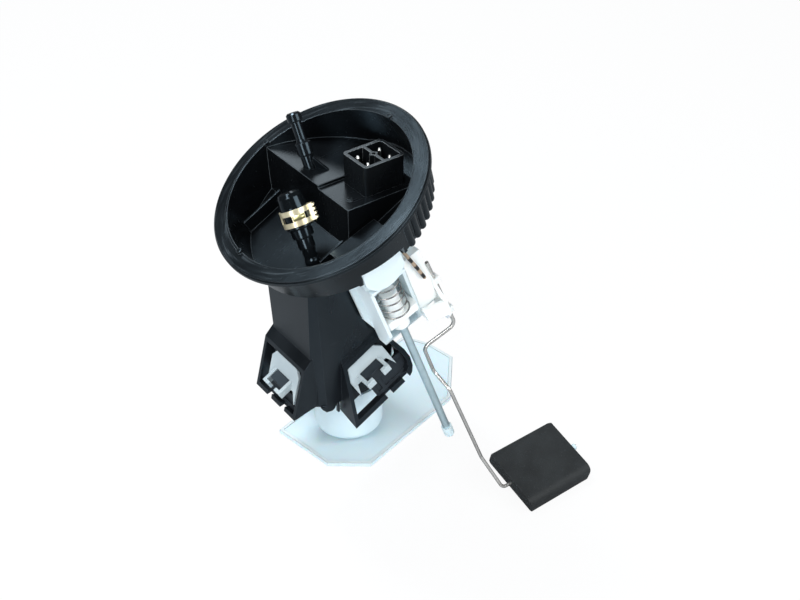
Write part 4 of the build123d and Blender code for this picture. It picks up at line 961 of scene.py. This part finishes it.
# ---------------------------------------------------------------- sub-assemblies
@dataclass
class PlungerSpring:
    """The coil that holds the guide rod down."""

    wardrobe: Wardrobe
    top: Vector = field(default_factory=lambda: Vector((11.444, -44.0, -43.723)) * MM)
    length: float = 30.0 * MM
    radius: float = 9.0 * MM
    wire_radius: float = 0.48 * MM
    turns: float = 5.0
    stroke: float = 11.0 * MM
    steps_in_turn: int = 40
    steps_in_section: int = 12

    def build(self) -> bpy.types.Object:
        """Builds the coil along the sender's own axis.

        Returns:
            The coil.
        """
        tree = GeometryTree("spring_coil", {
            "Turns": self.turns,
            "Radius": self.radius,
            "Length": self.length,
            "Wire": self.wire_radius,
        })
        spiral = tree.add("GeometryNodeCurveSpiral", inputs={
            "Resolution": self.steps_in_turn,
            "Rotations": tree.size("Turns"),
            "Start Radius": tree.size("Radius"),
            "End Radius": tree.size("Radius"),
            "Height": tree.size("Length"),
        })
        section = tree.add("GeometryNodeCurvePrimitiveCircle", inputs={
            "Resolution": self.steps_in_section, "Radius": tree.size("Wire"),
        })
        wire = tree.add("GeometryNodeCurveToMesh", inputs={
            "Curve": spiral.outputs[0], "Profile Curve": section.outputs[0], "Fill Caps": True,
        })
        steel = self.wardrobe.get(Finish.SPRING_STEEL)
        coil = tree.make("spring_coil", wire.outputs[0], steel)
        foot = self.top - SENDER_UP * self.length
        settle(coil, standing(foot, SENDER_UP, SENDER_ACROSS), "module")
        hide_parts("plunger_spring")
        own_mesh(coil)
        return coil


@dataclass
class StrainerHem:
    """The heat-sealed border round the strainer cloth, above and below.

    It keeps inside the cloth's outline by the share that inside gives, and its edges are rolled
    by a share of its height.
    """

    wardrobe: Wardrobe
    centre: Vector = field(default_factory=lambda: Vector((14.0, -2.0, -190.0)) * MM)
    turn: float = math.radians(13.7)
    corners: tuple[tuple[float, float], ...] = (
        (-38.0, -15.0), (-20.5, -37.0), (64.0, -37.0), (99.5, -11.5),
        (101.0, 12.0), (96.0, 31.0), (-35.0, 31.0),
    )
    cloth: float = 2.6 * MM
    width: float = 2.4 * MM
    raised: float = 0.35 * MM
    inside: float = 0.998
    rolled: float = 0.7

    def build(self) -> list[bpy.types.Object]:
        """Builds both borders.

        Returns:
            The upper and the lower one.
        """
        place = Matrix.Translation(self.centre) @ Matrix.Rotation(self.turn, 4, "Z")
        made = []
        for side, name in ((1.0, "hem_upper"), (-1.0, "hem_lower")):
            piece = self._border(name, side)
            made.append(settle(piece, place, "module", smooth=False))
        return made

    def _border(self, name: str, side: float) -> bpy.types.Object:
        """One border: a flat frame with rolled edges.

        Args:
            name: The piece's name.
            side: 1 above the cloth, -1 below.

        Returns:
            The piece about the cloth's centre.
        """
        work = bmesh.new()
        scale = MM * self.inside
        base = side * self.cloth / 2
        outline = [work.verts.new((u * scale, v * scale, base)) for u, v in self.corners]
        face = work.faces.new(outline)
        work.normal_update()
        border = bmesh.ops.inset_region(
            work, faces=[face], thickness=self.width, use_boundary=True, use_even_offset=True
        )["faces"]
        bmesh.ops.delete(work, geom=[face], context="FACES_ONLY")
        risen = bmesh.ops.extrude_face_region(work, geom=border)["geom"]
        lifted = [v for v in risen if isinstance(v, bmesh.types.BMVert)]
        bmesh.ops.translate(work, verts=lifted, vec=(0.0, 0.0, side * self.raised))
        rim = [e for e in work.edges if all(v in lifted for v in e.verts)]
        bmesh.ops.bevel(
            work, geom=rim, offset=self.raised * self.rolled, segments=2, affect="EDGES"
        )
        return object_from(work, name, self.wardrobe.get(Finish.STRAINER_HEM))


@dataclass
class ClampPlate:
    """The curved tongue that lies over the clamp's band where it closes.

    Over the share of its length that end_share gives, each end dips by end_dip thicknesses.
    """

    wardrobe: Wardrobe
    foot: Vector = field(default_factory=lambda: Vector((-18.6, -19.5, -33.93)) * MM)
    axis: Vector = field(default_factory=lambda: Vector((-0.0349, 0.4988, 0.8660)))
    height: Band = (26.0 * MM, 29.0 * MM)
    sweep: Band = (-133.0, -82.0)
    radius: float = 8.95 * MM
    thickness: float = 0.32 * MM
    steps: int = 22
    end_share: float = 0.08
    end_dip: float = 1.6

    def build(self) -> bpy.types.Object:
        """Builds the tongue as a curved strip with turned-down ends.

        Returns:
            The tongue.
        """
        work = bmesh.new()
        rows = [self._row(work, step / self.steps) for step in range(self.steps + 1)]
        for near, far in zip(rows, rows[1:]):
            for k, after in ((0, 1), (1, 2), (2, 3), (3, 0)):
                work.faces.new((near[k], near[after], far[after], far[k]))
        work.faces.new(rows[0])
        work.faces.new(list(reversed(rows[-1])))
        piece = object_from(work, "clamp_tongue", self.wardrobe.get(Finish.BRASS_DEEP))
        across = Vector((1.0, 0.0, 0.0))
        across = (across - self.axis * across.dot(self.axis)).normalized()
        return settle(piece, standing(self.foot, self.axis, across), "module")

    def _row(self, work: bmesh.types.BMesh, share: float) -> list[bmesh.types.BMVert]:
        """The four corners of the strip at one place along it.

        Args:
            work: The mesh they are added to.
            share: How far along the strip they lie, 0 to 1.

        Returns:
            The corners, in order round the strip's section.
        """
        turn = math.radians(self.sweep[0] + (self.sweep[1] - self.sweep[0]) * share)
        at_end = max(0.0, 1.0 - min(share, 1.0 - share) / self.end_share)
        inner = self.radius - self.thickness * self.end_dip * at_end
        outer = inner + self.thickness
        low, high = self.height
        return [
            work.verts.new((r * math.cos(turn), r * math.sin(turn), z))
            for r, z in ((inner, low), (outer, low), (outer, high), (inner, high))
        ]


# ---------------------------------------------------------------- studio
@dataclass(frozen=True)
class Lamp:
    """A square soft light that faces the object."""

    name: str
    at: Triple
    size: float
    watts: float
    colour: Colour = WHITE

    def hang(self, target: Vector) -> None:
        """Adds the light to the scene.

        Args:
            target: The point it faces.
        """
        light = bpy.data.lights.new(self.name, "AREA")
        light.shape = "SQUARE"
        light.size = self.size
        light.energy = self.watts
        light.color = self.colour
        lamp = add_object(self.name, light)
        lamp.location = self.at
        look_at(lamp, target - Vector(self.at))


@dataclass
class Studio:
    """Pale floor, plain soft light and the camera.

    The floor and the sky look nearly white to the camera, and are darker in reflections, so
    that black and bare metal surfaces keep their depth.
    """

    camera_at: Vector = field(default_factory=lambda: Vector((-318.1, -501.9, 357.0)) * MM)
    camera_tilt: float = math.radians(36.5)
    camera_right: Vector = field(default_factory=lambda: Vector((0.8, -0.6, 0.0)))
    lens: float = 54.0
    sensor: float = 36.0
    nearest: float = 10.0 * MM
    target: Vector = field(default_factory=lambda: Vector((30.0, -20.0, -80.0)) * MM)
    lamps: tuple[Lamp, ...] = (
        Lamp("key", (-0.80, -0.40, 0.85), 0.55, 7.0),
        Lamp("low", (-1.05, -0.80, 0.12), 0.40, 3.2),
        Lamp("fill", (0.55, -0.95, 0.55), 0.80, 8.0, (0.96, 0.99, 1.0)),
        Lamp("back", (-0.27, 0.54, 1.15), 0.40, 13.0, (0.90, 0.96, 1.0)),
        Lamp("side", (0.59, 0.96, 0.65), 0.45, 1.4, (0.92, 0.97, 1.0)),
    )
    floor_size: float = 6.0
    floor_gap: float = 0.5 * MM
    floor_colour: Colour = (0.80, 0.83, 0.86)
    floor_seen_white: float = 0.92
    sky: float = 0.43
    mirrored_sky: float = 0.08
    mirrored_floor: float = 0.35

    def build(self) -> None:
        """Builds the floor, the light and the camera."""
        self._floor()
        self._world()
        for lamp in self.lamps:
            lamp.hang(self.target)
        self._camera()

    def _floor(self) -> None:
        """Lays the floor under the lowest point."""
        low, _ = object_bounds()
        half, level = self.floor_size / 2, low.z - self.floor_gap
        mesh = bpy.data.meshes.new("floor")
        corners = [(-half, -half), (half, -half), (half, half), (-half, half)]
        mesh.from_pydata([(x, y, level) for x, y in corners], [], [(0, 1, 2, 3)])
        floor = add_object("floor", mesh)
        g = Graph(bpy.data.materials.new("floor_paint"))
        seen = g.add("ShaderNodeLightPath", take="Is Camera Ray")
        mirrored = g.add("ShaderNodeLightPath", take="Is Glossy Ray")
        dim = tuple(c * self.mirrored_floor for c in self.floor_colour)
        colour = g.blend(mirrored, self.floor_colour, dim)
        paint = g.add("ShaderNodeBsdfPrincipled", inputs={"Base Color": colour, "Roughness": 0.9})
        white = g.add("ShaderNodeEmission", inputs={"Strength": 1.0})
        share = seen * self.floor_seen_white
        g.end(g.add("ShaderNodeMixShader", inputs={0: share, 1: paint, 2: white}))
        mesh.materials.append(g.owner)
        floor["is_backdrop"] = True

    def _world(self) -> None:
        """Even pale surroundings."""
        world = bpy.data.worlds.new("studio")
        bpy.context.scene.world = world
        g = Graph(world)
        seen = g.add("ShaderNodeLightPath", take="Is Camera Ray")
        mirrored = g.add("ShaderNodeLightPath", take="Is Glossy Ray")
        strength = (mirrored * (self.mirrored_sky - self.sky) + self.sky).larger(seen)
        sockets = {"Color": (*WHITE, 1.0), "Strength": strength}
        g.end(g.add("ShaderNodeBackground", inputs=sockets), "ShaderNodeOutputWorld")

    def _camera(self) -> None:
        """Sets the camera at the product's usual three-quarter view."""
        data = bpy.data.cameras.new("camera")
        data.lens = self.lens
        data.sensor_width = self.sensor
        data.clip_start = self.nearest
        camera = add_object("camera", data)
        camera.location = self.camera_at
        level, drop = math.cos(self.camera_tilt), math.sin(self.camera_tilt)
        right = self.camera_right
        look_at(camera, Vector((-right.y * level, right.x * level, -drop)))
        bpy.context.scene.camera = camera
        bpy.context.scene.view_settings.view_transform = "Standard"


def main() -> None:
    """Builds the part's looks in order."""
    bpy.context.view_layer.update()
    wardrobe = Wardrobe()
    wardrobe.dress_nodes()
    PlungerSpring(wardrobe).build()
    StrainerHem(wardrobe).build()
    ClampPlate(wardrobe).build()
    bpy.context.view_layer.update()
    Studio().build()
    LOG.info("scene is ready")


if __name__ == "__main__":
    main()
